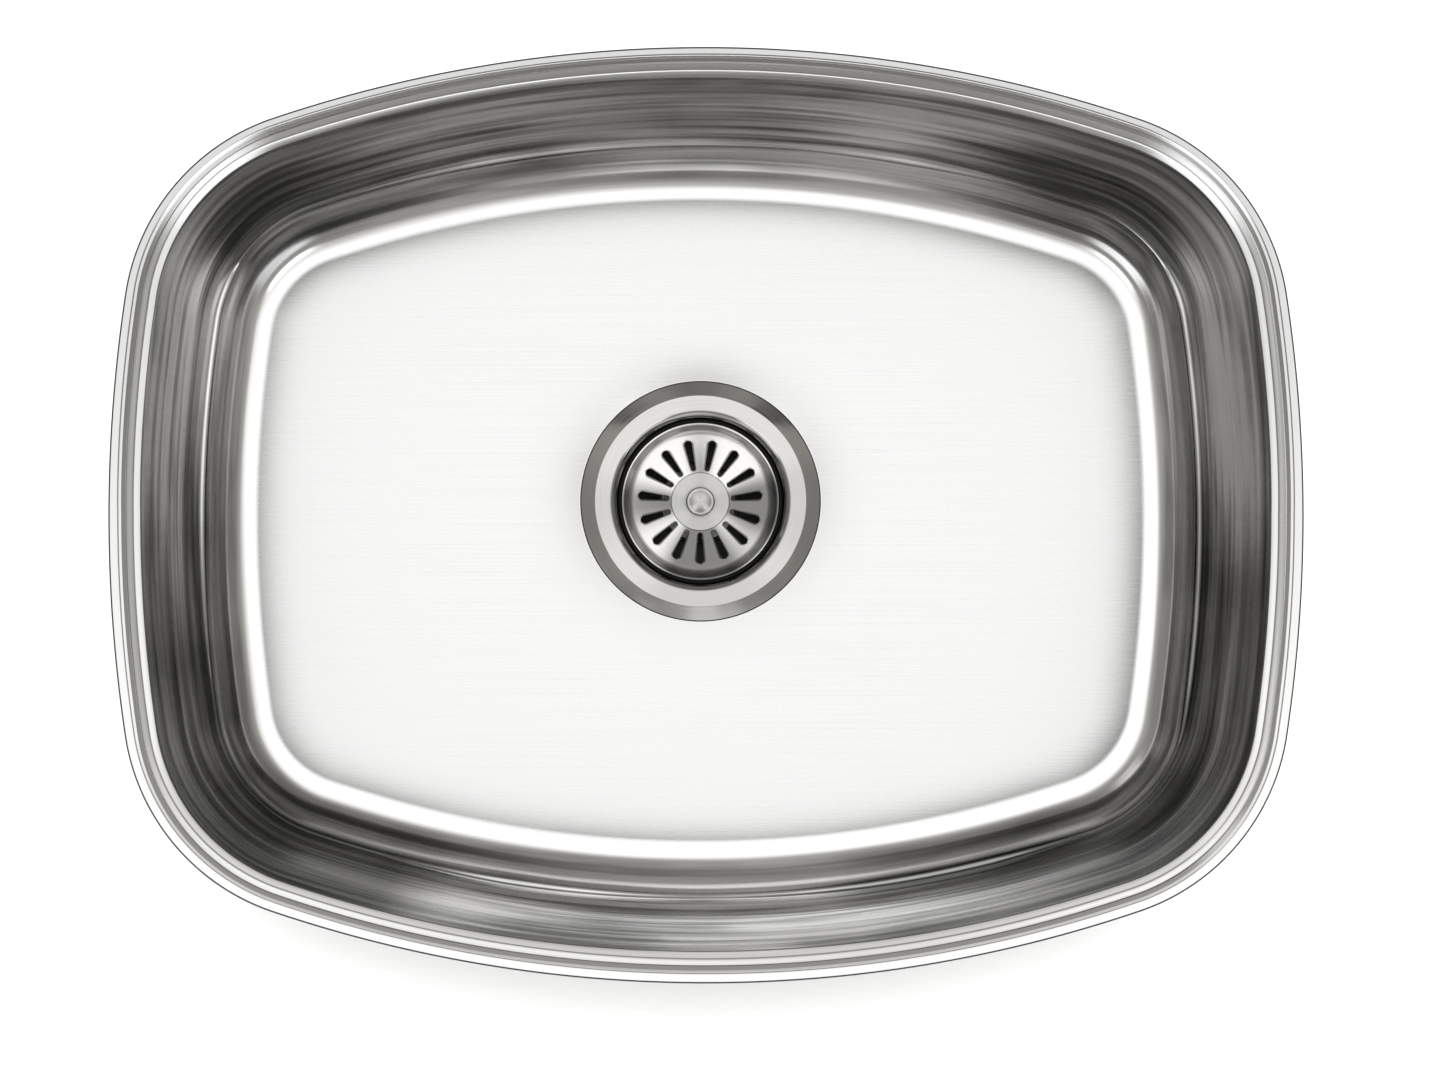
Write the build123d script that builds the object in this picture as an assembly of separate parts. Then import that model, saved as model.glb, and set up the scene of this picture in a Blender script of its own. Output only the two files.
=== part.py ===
from build123d import *
import os
from math import asin, atan2, cos, degrees, floor, hypot, radians, sin, sqrt, tan

# Kitchen sink bowl for mounting under a worktop, with its basket strainer drain.
# Millimetres. The origin is the middle of the rim's flat top face, +X runs along the
# long way of the bowl, +Y to the back and +Z up out of the bowl.

os.makedirs("parts", exist_ok=True)

# Rim outline: four long arcs joined by four corner arcs
rim_half_length = 266.2
rim_half_width = 208.5
long_edge_radius = 602.0
short_edge_radius = 661.0
rim_corner_radius = 98.0

# Bowl section, inward and down from the outer edge of the rim
bowl_sheet = 1.2
bowl_depth = 200.0
land_width = 4.4
land_corner = 1.6
step_run = 1.0
step_drop = 1.4
step_corner = 0.8
ledge_width = 2.0
ledge_fall = 0.7
crease_width = 1.0
crease_fall = 0.05
crease_corner = 0.8
brow_corner = 1.6
shoulder_width = 5.9
shoulder_slope = 36.0
roll_radius = 7.0
bottom_inset = 56.0
bottom_fillet = 25.0
bottom_lap = 1.0

# Drain opening in the bowl's bottom
drain_setback = 9.0
drain_hole_radius = 44.45
seat_radius = 59.1
seat_blend = 6.0
dish_drop = 3.0
dish_slope = 12.0
dish_blend = 100.0

# Drain body: flange, threaded cup and outlet neck
flange_radius = 57.15
flange_flat_radius = 50.0
flange_sheet = 1.5
flange_bevel_drop = 2.2
flange_bevel_round = 1.5
flange_edge = 0.8
flange_edge_round = 0.3
mouth_radius = 39.6
mouth_roll = 4.3
cup_wall = 2.0
cup_depth = 52.0
cup_corner = 5.0
seal_shelf = 1.4
shelf_round = 0.4
floor_fall = 4.0
floor_wall = 2.0
floor_round = 2.0
neck_bore_radius = 18.2
neck_wall = 5.2
neck_length = 26.0
neck_mouth_round = 1.0
socket_recess = 1.4
socket_recess_depth = 6.0
thread_depth = 0.7
thread_crest_share = 0.4
cup_thread_pitch = 2.1
cup_thread_length = 30.0
neck_thread_pitch = 2.2
neck_thread_length = 16.0

# Seals and nuts that hold the drain in the bowl
flange_seal_thickness = 1.6
flange_seal_width = 5.0
gasket_radius = 57.0
gasket_thickness = 3.0
friction_ring_radius = 56.0
friction_ring_thickness = 1.2
lock_nut_radius = 50.0
lock_nut_height = 13.0
lock_nut_round = 1.0
lock_nut_lugs = 8
lock_nut_lug_width = 9.0
lock_nut_lug_reach = 6.0
lock_nut_lug_below_face = 3.9

# Tailpiece with its washer and slip nut
tailpiece_radius = 19.05
tailpiece_wall = 1.0
tailpiece_length = 101.6
tailpiece_root = 0.6
tailpiece_root_below_nut = 0.8
tailpiece_collar = 3.7
tailpiece_collar_thickness = 1.5
tailpiece_washer_thickness = 1.5
slip_nut_wall = 4.6
slip_nut_height = 20.0
slip_nut_lip = 2.7
slip_nut_round = 1.0
slip_nut_ribs = 12
slip_nut_rib_width = 4.0
slip_nut_rib_reach = 1.8

# Strainer basket and its stem
basket_sheet = 0.8
basket_radius = 36.8
basket_lip = 0.5
basket_lip_bend = 1.0
basket_lip_below_flange = 5.6
basket_depth = 10.0
basket_corner = 5.0
plate_radius = 30.6
plate_flat_radius = 14.3
plate_rise = 1.6
plate_bend = 2.0
plate_foot_bend = 0.3
slot_count = 15
slot_inner_radius = 14.9
slot_outer_radius = 29.6
slot_inner_width = 2.1
slot_outer_width = 3.7
seal_height = 4.0
seal_corner = 0.5
seal_gap = 0.3
knob_disc_radius = 13.9
knob_disc_thickness = 1.2
knob_disc_corner = 0.6
knob_radius = 6.75
knob_dome_radius = 5.5
knob_neck_radius = 4.2
knob_neck_height = 4.0
knob_neck_round = 1.0
knob_rim_height = 2.6
knob_under_round = 0.6
knob_top_round = 0.8
knob_dome_height = 1.0
knob_thread_depth = 5.0
stem_radius = 3.0
stem_tip_chamfer = 0.8
stem_nut_flats = 10.0
stem_nut_height = 4.0
stem_washer_radius = 7.0
stem_washer_thickness = 1.0
clip_ring_wire = 0.7
clip_ring_groove = 0.4
clip_ring_opening = 60.0
clip_ring_above_tip = 3.0

# Post socket in the neck of the drain body
socket_ring_wall = 1.5
socket_hub_wall = 2.4
socket_spokes = 4
socket_spoke_width = 3.0
socket_spoke_height = 2.5

# Swing-out fixing clips under the rim
clip_long_edge_angle = 11.3
clip_pivot_inset = 6.3
clip_arm_width = 10.0
clip_arm_thickness = 2.0
clip_arm_reach = 34.0
clip_slot_length = 8.0
clip_slot_width = 5.0
bracket_sheet = 1.5
bracket_bend = 2.6
bracket_width = 22.0
bracket_leaf_edge = 1.2
bracket_leg = 22.0
bolt_radius = 2.5
bolt_length = 16.0
bolt_chamfer = 0.5
bolt_head_radius = 3.2
bolt_head_height = 1.4
wing_hub_radius = 4.5
wing_hub_height = 5.0
wing_span = 22.0
wing_height = 9.0
wing_corner = 2.25
wing_sheet = 1.6

# Sound pads glued to the outside of the bowl
pad_thickness = 3.0
pad_corner = 14.0
bottom_pad_from_dish = 8.0
bottom_pad_from_end = 21.5
bottom_pad_from_side = 47.5
wall_pad_top = 62.0
wall_pad_above_bottom = 50.0
long_wall_pad_half_angle = 9.5
short_wall_pad_half_angle = 5.5

# Clearances
running_gap = 0.05
thread_gap = 0.2
slip_gap = 0.15
bolt_hole_gap = 0.1
turning_gap = 0.3
slide_gap = 0.4


def sheet_section(points, corner_radii, thickness):
    """Section of bent sheet: the line through points, with its thickness below or outside it."""
    headings = []
    for start, end in zip(points, points[1:]):
        length = hypot(end[0] - start[0], end[1] - start[1])
        headings.append(((end[0] - start[0]) / length, (end[1] - start[1]) / length))
    outer_points = [offset_point(points[0], headings[0], headings[0], thickness)]
    outer_radii = []
    for index, corner_radius in enumerate(corner_radii):
        before = headings[index]
        after = headings[index + 1]
        outer_points.append(offset_point(points[index + 1], before, after, thickness))
        bends_down = before[0] * after[1] < before[1] * after[0]
        outer_radii.append(corner_radius - thickness if bends_down else corner_radius + thickness)
    outer_points.append(offset_point(points[-1], headings[-1], headings[-1], thickness))
    face_line = FilletPolyline(*points, radius=corner_radii)
    outer_line = FilletPolyline(*outer_points, radius=outer_radii)
    first_end = Line(points[0], outer_points[0])
    last_end = Line(points[-1], outer_points[-1])
    return make_face([*face_line.edges(), *outer_line.edges(), first_end.edge(), last_end.edge()])


def offset_point(point, before, after, distance):
    """Point moved to the right of both headings by the distance."""
    bisector = (before[1] + after[1], -before[0] - after[0])
    reach = distance / (1 + before[0] * after[0] + before[1] * after[1])
    return (point[0] + bisector[0] * reach, point[1] + bisector[1] * reach)


def turned(*corners):
    """Solid turned about the drain's axis from corners of radius, height and corner radius."""
    points = [(corner[0], corner[1]) for corner in corners]
    radii = [corner[2] if len(corner) > 2 else 0 for corner in corners]
    section = make_face(FilletPolyline(*points, radius=radii, close=True).edges())
    return Pos(0, drain_setback, 0) * revolve(Plane.XZ * section, Axis.Z)


def ring(inner_radius, outer_radius, low, high):
    """Flat ring about the drain's axis."""
    return turned((inner_radius, low), (outer_radius, low), (outer_radius, high), (inner_radius, high))


def save(name, shape):
    export_step(shape, f"parts/{name}.step")


# Outline arcs ---------------------------------------------------------------------

back_centre = rim_half_width - long_edge_radius
right_centre = rim_half_length - short_edge_radius
centre_gap = hypot(right_centre, back_centre)
back_reach = long_edge_radius - rim_corner_radius
right_reach = short_edge_radius - rim_corner_radius
along = (back_reach**2 - right_reach**2 + centre_gap**2) / (2 * centre_gap)
across = sqrt(back_reach**2 - along**2)
corner_x = (along * right_centre - across * back_centre) / centre_gap
corner_y = back_centre - (along * back_centre + across * right_centre) / centre_gap
long_half_angle = degrees(atan2(corner_x, corner_y - back_centre))
short_half_angle = degrees(atan2(corner_y, corner_x - right_centre))
corner_angle = 90 - long_half_angle - short_half_angle


def outline_arcs():
    """Centre, radius, first angle and sweep of the rim's arcs, anticlockwise from the right edge."""
    return [
        (right_centre, 0, short_edge_radius, -short_half_angle, 2 * short_half_angle),
        (corner_x, corner_y, rim_corner_radius, short_half_angle, corner_angle),
        (0, back_centre, long_edge_radius, 90 - long_half_angle, 2 * long_half_angle),
        (-corner_x, corner_y, rim_corner_radius, 90 + long_half_angle, corner_angle),
        (-right_centre, 0, short_edge_radius, 180 - short_half_angle, 2 * short_half_angle),
        (-corner_x, -corner_y, rim_corner_radius, 180 + short_half_angle, corner_angle),
        (0, -back_centre, long_edge_radius, 270 - long_half_angle, 2 * long_half_angle),
        (corner_x, -corner_y, rim_corner_radius, 270 + long_half_angle, corner_angle),
    ]


def follow_edge(section, arc, first_angle, sweep):
    """Solid made by carrying a section, drawn as inset and height, along part of an outline arc."""
    centre_x, centre_y, edge_radius = arc[:3]
    upright = Plane.XZ * (Pos(edge_radius, 0) * mirror(section, Plane.YZ))
    solid = revolve(upright, Axis.Z, sweep)
    return Pos(centre_x, centre_y, 0) * Rot(0, 0, first_angle) * solid


# Bowl section ---------------------------------------------------------------------

ledge_inset = land_width + step_run
crease_inset = ledge_inset + ledge_width
crease_height = -step_drop - ledge_fall
shoulder_inset = crease_inset + crease_width
shoulder_height = crease_height - crease_fall
wall_top_inset = shoulder_inset + shoulder_width
wall_top_height = shoulder_height - shoulder_width * tan(radians(shoulder_slope))
fillet_inset = bottom_inset - wall_top_inset
fillet_height = bottom_fillet - bowl_depth - wall_top_height
fillet_reach = hypot(fillet_inset, fillet_height)
wall_draft = degrees(atan2(fillet_inset, -fillet_height) - asin(bottom_fillet / fillet_reach))
wall_foot_inset = wall_top_inset + (bowl_depth + wall_top_height) * tan(radians(wall_draft))
bottom_underside = -bowl_depth - bowl_sheet


def wall_outside(height, stand_off=0.0):
    """Inset of the wall's outer face at a height, or of a face parallel to it further out."""
    inner_face = wall_top_inset + (wall_top_height - height) * tan(radians(wall_draft))
    return inner_face - (bowl_sheet + stand_off) / cos(radians(wall_draft))


def bowl_section():
    points = [
        (0, 0),
        (land_width, 0),
        (ledge_inset, -step_drop),
        (crease_inset, crease_height),
        (shoulder_inset, shoulder_height),
        (wall_top_inset, wall_top_height),
        (wall_foot_inset, -bowl_depth),
        (bottom_inset + bottom_lap, -bowl_depth),
    ]
    radii = [land_corner, step_corner, crease_corner, brow_corner, roll_radius, bottom_fillet]
    return sheet_section(points, radii, bowl_sheet)


def bottom_outline():
    """Flat bottom, inside the bottom fillet."""
    edges = []
    for centre_x, centre_y, edge_radius, first_angle, sweep in outline_arcs():
        centre = (centre_x, centre_y, -bowl_depth)
        edges.append(CenterArc(centre, edge_radius - bottom_inset - bottom_lap, first_angle, sweep).edge())
    return make_face(edges)


seat_height = -bowl_depth - dish_drop
seat_underside = seat_height - bowl_sheet
slope_top_radius = seat_radius + dish_drop / tan(radians(dish_slope))
dish_radius = slope_top_radius + dish_blend * tan(radians(dish_slope / 2)) + bottom_lap


def dish_section():
    """Shallow dish that falls from the flat bottom to the flange's seat."""
    points = [
        (drain_hole_radius, seat_height),
        (seat_radius, seat_height),
        (slope_top_radius, -bowl_depth),
        (dish_radius, -bowl_depth),
    ]
    return sheet_section(points, [seat_blend, dish_blend], bowl_sheet)


def sink_bowl():
    section = bowl_section()
    walls = [follow_edge(section, arc, arc[3], arc[4]) for arc in outline_arcs()]
    bottom = extrude(bottom_outline(), bowl_sheet, dir=(0, 0, -1))
    clearing = Pos(0, drain_setback, -bowl_depth) * Cylinder(dish_radius, 4 * bowl_sheet)
    dish = Pos(0, drain_setback, 0) * revolve(Plane.XZ * dish_section(), Axis.Z)
    return (bottom - clearing).fuse(dish, *walls)


# Drain levels ---------------------------------------------------------------------

flange_underside = seat_height + flange_seal_thickness
flange_top = flange_underside + flange_sheet
basket_lip_top = flange_top - basket_lip_below_flange
seal_top = basket_lip_top - basket_sheet
seal_bottom = seal_top - seal_height
shelf_height = seal_bottom - seal_gap
cup_bore_radius = mouth_radius - seal_shelf
cup_outer_radius = mouth_radius + cup_wall
cup_floor = flange_top - cup_depth
neck_top = cup_floor - floor_fall
neck_bottom = neck_top - neck_length
neck_outer_radius = neck_bore_radius + neck_wall
socket_bore_radius = neck_bore_radius + socket_recess
socket_shelf = neck_top - socket_recess_depth
gasket_bottom = seat_underside - gasket_thickness
lock_nut_top = gasket_bottom - friction_ring_thickness


def thread_corners(crest_radius, start, length, pitch):
    """Corners of a rolled thread, drawn as parallel rounded ridges, going up if length is positive."""
    turns = floor(abs(length) / pitch)
    step = pitch if length > 0 else -pitch
    half_crest = step * thread_crest_share / 2
    corners = []
    for turn in range(turns):
        base = start + turn * step
        corners.append((crest_radius, base))
        corners.append((crest_radius, base + half_crest))
        corners.append((crest_radius - thread_depth, base + step / 2))
        corners.append((crest_radius, base + step - half_crest))
    return corners


def drain_body():
    bevel_underside = flange_underside - flange_bevel_drop + (flange_sheet - flange_edge)
    thread_start = flange_underside - flange_sheet
    return turned(
        (flange_radius, flange_top - flange_bevel_drop, flange_edge_round),
        (flange_flat_radius, flange_top, flange_bevel_round),
        (mouth_radius, flange_top, mouth_roll),
        (mouth_radius, shelf_height, shelf_round),
        (cup_bore_radius, shelf_height, shelf_round),
        (cup_bore_radius, cup_floor, cup_corner),
        (socket_bore_radius, neck_top, neck_mouth_round),
        (socket_bore_radius, socket_shelf),
        (neck_bore_radius, socket_shelf),
        (neck_bore_radius, neck_bottom),
        *thread_corners(neck_outer_radius, neck_bottom, neck_thread_length, neck_thread_pitch),
        (neck_outer_radius, neck_bottom + neck_thread_length),
        (neck_outer_radius, neck_top - floor_wall, floor_round),
        (cup_outer_radius, cup_floor - floor_wall, cup_corner + floor_wall),
        *reversed(thread_corners(cup_outer_radius, thread_start, -cup_thread_length, cup_thread_pitch)),
        (cup_outer_radius, flange_underside),
        (flange_flat_radius, flange_underside),
        (flange_radius, bevel_underside),
    )


def flange_seal():
    inner_radius = flange_flat_radius - flange_seal_width
    return ring(inner_radius, flange_flat_radius, seat_height, flange_underside)


def gasket():
    return ring(cup_outer_radius + turning_gap, gasket_radius, gasket_bottom, seat_underside)


def friction_ring():
    return ring(cup_outer_radius + turning_gap, friction_ring_radius, lock_nut_top, gasket_bottom)


def ring_of_lugs(count, inner_radius, reach, width, low, height):
    """Lugs that stand out from a round nut."""
    length = reach * 2
    lug = Pos(inner_radius, 0, low + height / 2) * Box(length, width, height)
    lugs = [Rot(0, 0, 360 * index / count) * lug for index in range(count)]
    return [Pos(0, drain_setback, 0) * one for one in lugs]


def lock_nut():
    bore_radius = cup_outer_radius + thread_gap
    bottom = lock_nut_top - lock_nut_height
    body = turned(
        (bore_radius, bottom),
        (lock_nut_radius, bottom, lock_nut_round),
        (lock_nut_radius, lock_nut_top),
        (bore_radius, lock_nut_top),
    )
    lug_height = lock_nut_height - lock_nut_lug_below_face
    lugs = ring_of_lugs(
        lock_nut_lugs, lock_nut_radius, lock_nut_lug_reach, lock_nut_lug_width, bottom, lug_height
    )
    return body.fuse(*lugs)


# Outlet ---------------------------------------------------------------------------

washer_bottom = neck_bottom - tailpiece_washer_thickness
collar_radius = tailpiece_radius + tailpiece_collar
collar_bottom = washer_bottom - tailpiece_collar_thickness
slip_nut_bottom = collar_bottom - slip_nut_lip


def tailpiece_washer():
    return ring(tailpiece_radius, collar_radius, washer_bottom, neck_bottom)


def tailpiece():
    bore_radius = tailpiece_radius - tailpiece_wall
    bottom = washer_bottom - tailpiece_length
    root_radius = tailpiece_radius + tailpiece_root
    root_bottom = slip_nut_bottom - tailpiece_root_below_nut
    return turned(
        (bore_radius, washer_bottom),
        (collar_radius, washer_bottom),
        (collar_radius, collar_bottom),
        (root_radius, collar_bottom),
        (root_radius, root_bottom + tailpiece_root),
        (tailpiece_radius, root_bottom),
        (tailpiece_radius, bottom),
        (bore_radius, bottom),
    )


def slip_nut():
    bore_radius = neck_outer_radius + thread_gap
    outer_radius = bore_radius + slip_nut_wall
    lip_radius = tailpiece_radius + tailpiece_root + slip_gap
    top = slip_nut_bottom + slip_nut_height
    body = turned(
        (lip_radius, slip_nut_bottom),
        (outer_radius - slip_nut_lip, slip_nut_bottom, slip_nut_round),
        (outer_radius, collar_bottom, slip_nut_round),
        (outer_radius, top, slip_nut_round),
        (bore_radius, top),
        (bore_radius, collar_bottom),
        (lip_radius, collar_bottom),
    )
    rib_height = slip_nut_height - 2 * slip_nut_lip
    ribs = ring_of_lugs(
        slip_nut_ribs, outer_radius, slip_nut_rib_reach, slip_nut_rib_width, collar_bottom, rib_height
    )
    return body.fuse(*ribs)


def post_socket():
    """Ring with a hub on spokes, which takes the tip of the basket's stem."""
    outer_radius = socket_bore_radius - running_gap
    inner_radius = outer_radius - socket_ring_wall
    outer_ring = ring(inner_radius, outer_radius, socket_shelf, socket_shelf + socket_spoke_height)
    hub_outer = socket_hole_radius + socket_hub_wall
    hub = ring(socket_hole_radius, hub_outer, socket_shelf, socket_shelf + socket_recess_depth)
    spoke_length = (inner_radius + socket_ring_wall / 2) - (hub_outer - socket_hub_wall / 2)
    spoke_middle = hub_outer - socket_hub_wall / 2 + spoke_length / 2
    spoke_shape = Box(spoke_length, socket_spoke_width, socket_spoke_height)
    spoke = Pos(spoke_middle, 0, socket_shelf + socket_spoke_height / 2) * spoke_shape
    turns = [Rot(0, 0, 360 * index / socket_spokes) for index in range(socket_spokes)]
    spokes = [Pos(0, drain_setback, 0) * turn * spoke for turn in turns]
    return outer_ring.fuse(hub, *spokes)


# Basket ---------------------------------------------------------------------------

basket_bore_radius = basket_radius - basket_sheet
basket_floor = basket_lip_top - basket_depth
plate_top = basket_floor + plate_rise
stem_hole_radius = stem_radius + running_gap
knob_disc_top = plate_top + knob_disc_thickness
knob_bottom = knob_disc_top + turning_gap
stem_washer_top = plate_top - basket_sheet - turning_gap
stem_nut_top = stem_washer_top - stem_washer_thickness
stem_tip = socket_shelf
clip_ring_height = stem_tip + clip_ring_above_tip
clip_ring_radius = stem_radius - clip_ring_groove + clip_ring_wire
socket_hole_radius = clip_ring_radius + clip_ring_wire + slide_gap


def strainer_slot():
    """Slot that widens outward, with round ends."""
    inner_end = Pos(slot_inner_radius + slot_inner_width / 2, 0) * Circle(slot_inner_width / 2)
    outer_end = Pos(slot_outer_radius - slot_outer_width / 2, 0) * Circle(slot_outer_width / 2)
    return make_hull([*inner_end.edges(), *outer_end.edges()])


def strainer_basket():
    points = [
        (stem_hole_radius, plate_top),
        (plate_flat_radius, plate_top),
        (plate_radius, basket_floor),
        (basket_bore_radius, basket_floor),
        (basket_bore_radius, basket_lip_top),
        (basket_radius + basket_lip, basket_lip_top),
    ]
    bends = [plate_bend, plate_foot_bend, basket_corner, basket_lip_bend]
    section = sheet_section(points, bends, basket_sheet)
    basket = revolve(Plane.XZ * section, Axis.Z)
    cutter = extrude(Pos(0, 0, basket_floor - basket_depth) * strainer_slot(), 2 * basket_depth)
    first_angle = -90
    cutters = [Rot(0, 0, first_angle + 360 * index / slot_count) * cutter for index in range(slot_count)]
    return Pos(0, drain_setback, 0) * basket.cut(*cutters)


def basket_seal():
    outer_radius = mouth_radius - turning_gap
    return turned(
        (basket_radius, seal_bottom),
        (outer_radius, seal_bottom, seal_corner),
        (outer_radius, seal_top, seal_corner),
        (basket_radius, seal_top, seal_corner),
    )


def knob_disc():
    return turned(
        (stem_hole_radius, plate_top),
        (knob_disc_radius, plate_top),
        (knob_disc_radius, knob_disc_top, knob_disc_corner),
        (stem_hole_radius, knob_disc_top),
    )


def knob():
    """Turned pull knob: a neck under a round head with a low dome on top."""
    head_bottom = knob_bottom + knob_neck_height
    head_top = head_bottom + knob_rim_height
    thread_top = knob_bottom + knob_thread_depth
    body = turned(
        (0, thread_top),
        (stem_radius, thread_top),
        (stem_radius, knob_bottom),
        (knob_neck_radius, knob_bottom),
        (knob_neck_radius, head_bottom, knob_neck_round),
        (knob_radius, head_bottom, knob_under_round),
        (knob_radius, head_top, knob_top_round),
        (0, head_top),
    )
    sphere_radius = (knob_dome_radius**2 + knob_dome_height**2) / (2 * knob_dome_height)
    sphere = Pos(0, drain_setback, head_top + knob_dome_height - sphere_radius) * Sphere(sphere_radius)
    cap = Pos(0, drain_setback, head_top + knob_dome_height / 2) * Cylinder(knob_radius, knob_dome_height)
    return body.fuse(sphere & cap)


def stem():
    groove_low = clip_ring_height - clip_ring_wire
    groove_high = clip_ring_height + clip_ring_wire
    groove_radius = stem_radius - clip_ring_groove
    return turned(
        (0, stem_tip),
        (stem_radius - stem_tip_chamfer, stem_tip),
        (stem_radius, stem_tip + stem_tip_chamfer),
        (stem_radius, groove_low),
        (groove_radius, groove_low),
        (groove_radius, groove_high),
        (stem_radius, groove_high),
        (stem_radius, knob_bottom + knob_thread_depth),
        (0, knob_bottom + knob_thread_depth),
    )


def spring_clip():
    """Open ring of round wire that snaps through the socket's hub."""
    wire = Plane.XZ * (Pos(clip_ring_radius, clip_ring_height) * Circle(clip_ring_wire))
    open_ring = revolve(wire, Axis.Z, 360 - clip_ring_opening)
    return Pos(0, drain_setback, 0) * open_ring


def stem_washer():
    return ring(stem_radius, stem_washer_radius, stem_nut_top, stem_washer_top)


def stem_nut():
    hexagon = RegularPolygon(stem_nut_flats / 2, 6, major_radius=False)
    blank = extrude(hexagon - Circle(stem_radius), stem_nut_height)
    return Pos(0, drain_setback, stem_nut_top - stem_nut_height) * blank


# Fixing clips ---------------------------------------------------------------------

rim_underside = shoulder_height - bowl_sheet / cos(radians(shoulder_slope))
bolt_head_reach = clip_pivot_inset + bolt_head_radius - shoulder_inset
bolt_head_top = rim_underside - bolt_head_reach * tan(radians(shoulder_slope)) - slide_gap
bolt_head_bottom = bolt_head_top - bolt_head_height
clip_arm_top = bolt_head_bottom - turning_gap
clip_arm_bottom = clip_arm_top - clip_arm_thickness
bracket_top = clip_arm_bottom - turning_gap
bracket_bottom = bracket_top - bracket_sheet


def clip_places():
    """Outline arc and angle of each clip: three along the front and back, one at each end."""
    right, _, back, _, left, _, front, _ = outline_arcs()
    return {
        "right": (right, 0),
        "back_right": (back, 90 - clip_long_edge_angle),
        "back_middle": (back, 90),
        "back_left": (back, 90 + clip_long_edge_angle),
        "left": (left, 180),
        "front_left": (front, 270 - clip_long_edge_angle),
        "front_middle": (front, 270),
        "front_right": (front, 270 + clip_long_edge_angle),
    }


def at_pivot(place, shape, extra_turn=0.0):
    """Move a shape from the origin to a clip's pivot, its +X turned outward from the bowl."""
    (centre_x, centre_y, edge_radius, _, _), angle = place
    reach = edge_radius - clip_pivot_inset
    pivot_x = centre_x + reach * cos(radians(angle))
    pivot_y = centre_y + reach * sin(radians(angle))
    return Pos(pivot_x, pivot_y, 0) * Rot(0, 0, angle + extra_turn) * shape


def clip_arm(place):
    """Strip that lies along the rim and swings out, with a slot for the fixing screw."""
    edge_radius = place[0][2]
    chord_turn = degrees(asin(clip_arm_reach / (2 * (edge_radius - clip_pivot_inset))))
    strip = SlotCenterToCenter(clip_arm_reach, clip_arm_width)
    strip = Pos(clip_arm_reach / 2, 0) * strip - Circle(bolt_radius + running_gap)
    screw_slot = SlotOverall(clip_slot_length, clip_slot_width)
    screw_middle = clip_arm_reach + clip_arm_width / 2 - clip_slot_length
    strip -= Pos(screw_middle, 0) * screw_slot
    arm = extrude(Pos(0, 0, clip_arm_bottom) * strip, clip_arm_thickness)
    return at_pivot(place, arm, extra_turn=-90 - chord_turn)


def clip_bracket(place):
    """Angle bracket welded to the wall, whose level leaf carries the pivot bolt."""
    leg_bottom = bracket_top - bracket_leg
    points = [
        (bracket_leaf_edge, bracket_top),
        (wall_outside(bracket_top), bracket_top),
        (wall_outside(leg_bottom), leg_bottom),
    ]
    section = sheet_section(points, [bracket_bend], bracket_sheet)
    arc, angle = place
    half_turn = degrees(bracket_width / 2 / arc[2])
    leaf_and_leg = follow_edge(section, arc, angle - half_turn, 2 * half_turn)
    bolt_hole = Cylinder(bolt_radius + bolt_hole_gap, 4 * bracket_sheet)
    return leaf_and_leg - at_pivot(place, Pos(0, 0, bracket_top) * bolt_hole)


def pivot_bolt(place):
    head = Cylinder(bolt_head_radius, bolt_head_height, align=(Align.CENTER, Align.CENTER, Align.MAX))
    shank = Cylinder(bolt_radius, bolt_length, align=(Align.CENTER, Align.CENTER, Align.MAX))
    shank = chamfer(shank.edges().sort_by(Axis.Z)[0], bolt_chamfer)
    bolt = Pos(0, 0, bolt_head_top) * head + Pos(0, 0, bolt_head_bottom) * shank
    return at_pivot(place, bolt)


def wing_nut(place):
    """Wing nut under the bracket, with its wings along the rim."""
    hub = Cylinder(wing_hub_radius, wing_hub_height, align=(Align.CENTER, Align.CENTER, Align.MAX))
    wing = Rectangle(wing_span, wing_height) - Pos(0, -wing_height / 2) * Circle(wing_hub_radius)
    wing = fillet(wing.vertices().group_by(Axis.Y)[-1], wing_corner)
    wings = extrude(Plane.YZ * wing, wing_sheet / 2, both=True)
    wings = Rot(180, 0, 0) * (Pos(0, 0, wing_height / 2) * wings)
    hole = Cylinder(bolt_radius + bolt_hole_gap, 4 * wing_height)
    nut = (hub + wings) - hole
    return at_pivot(place, Pos(0, 0, bracket_bottom) * nut)


# Sound pads -----------------------------------------------------------------------


def bottom_pad(side):
    """Pad on the underside of the flat bottom, between the drain's dish and one end."""
    near = dish_radius + bottom_pad_from_dish
    far = rim_half_length - bottom_inset - bottom_pad_from_end
    width = 2 * (rim_half_width - bottom_inset - bottom_pad_from_side)
    plate = RectangleRounded(far - near, width, pad_corner)
    return extrude(Pos(side * (near + far) / 2, 0, bottom_underside) * plate, pad_thickness, dir=(0, 0, -1))


def wall_pad(arc, half_angle):
    """Pad that follows the outside of one wall."""
    high = -wall_pad_top
    low = wall_pad_above_bottom - bowl_depth
    section = make_face(
        Polyline(
            (wall_outside(high), high),
            (wall_outside(high, pad_thickness), high),
            (wall_outside(low, pad_thickness), low),
            (wall_outside(low), low),
            close=True,
        ).edges()
    )
    middle_angle = arc[3] + arc[4] / 2
    return follow_edge(section, arc, middle_angle - half_angle, 2 * half_angle)


# Write the nodes ------------------------------------------------------------------

save("sink_bowl", sink_bowl())

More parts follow.
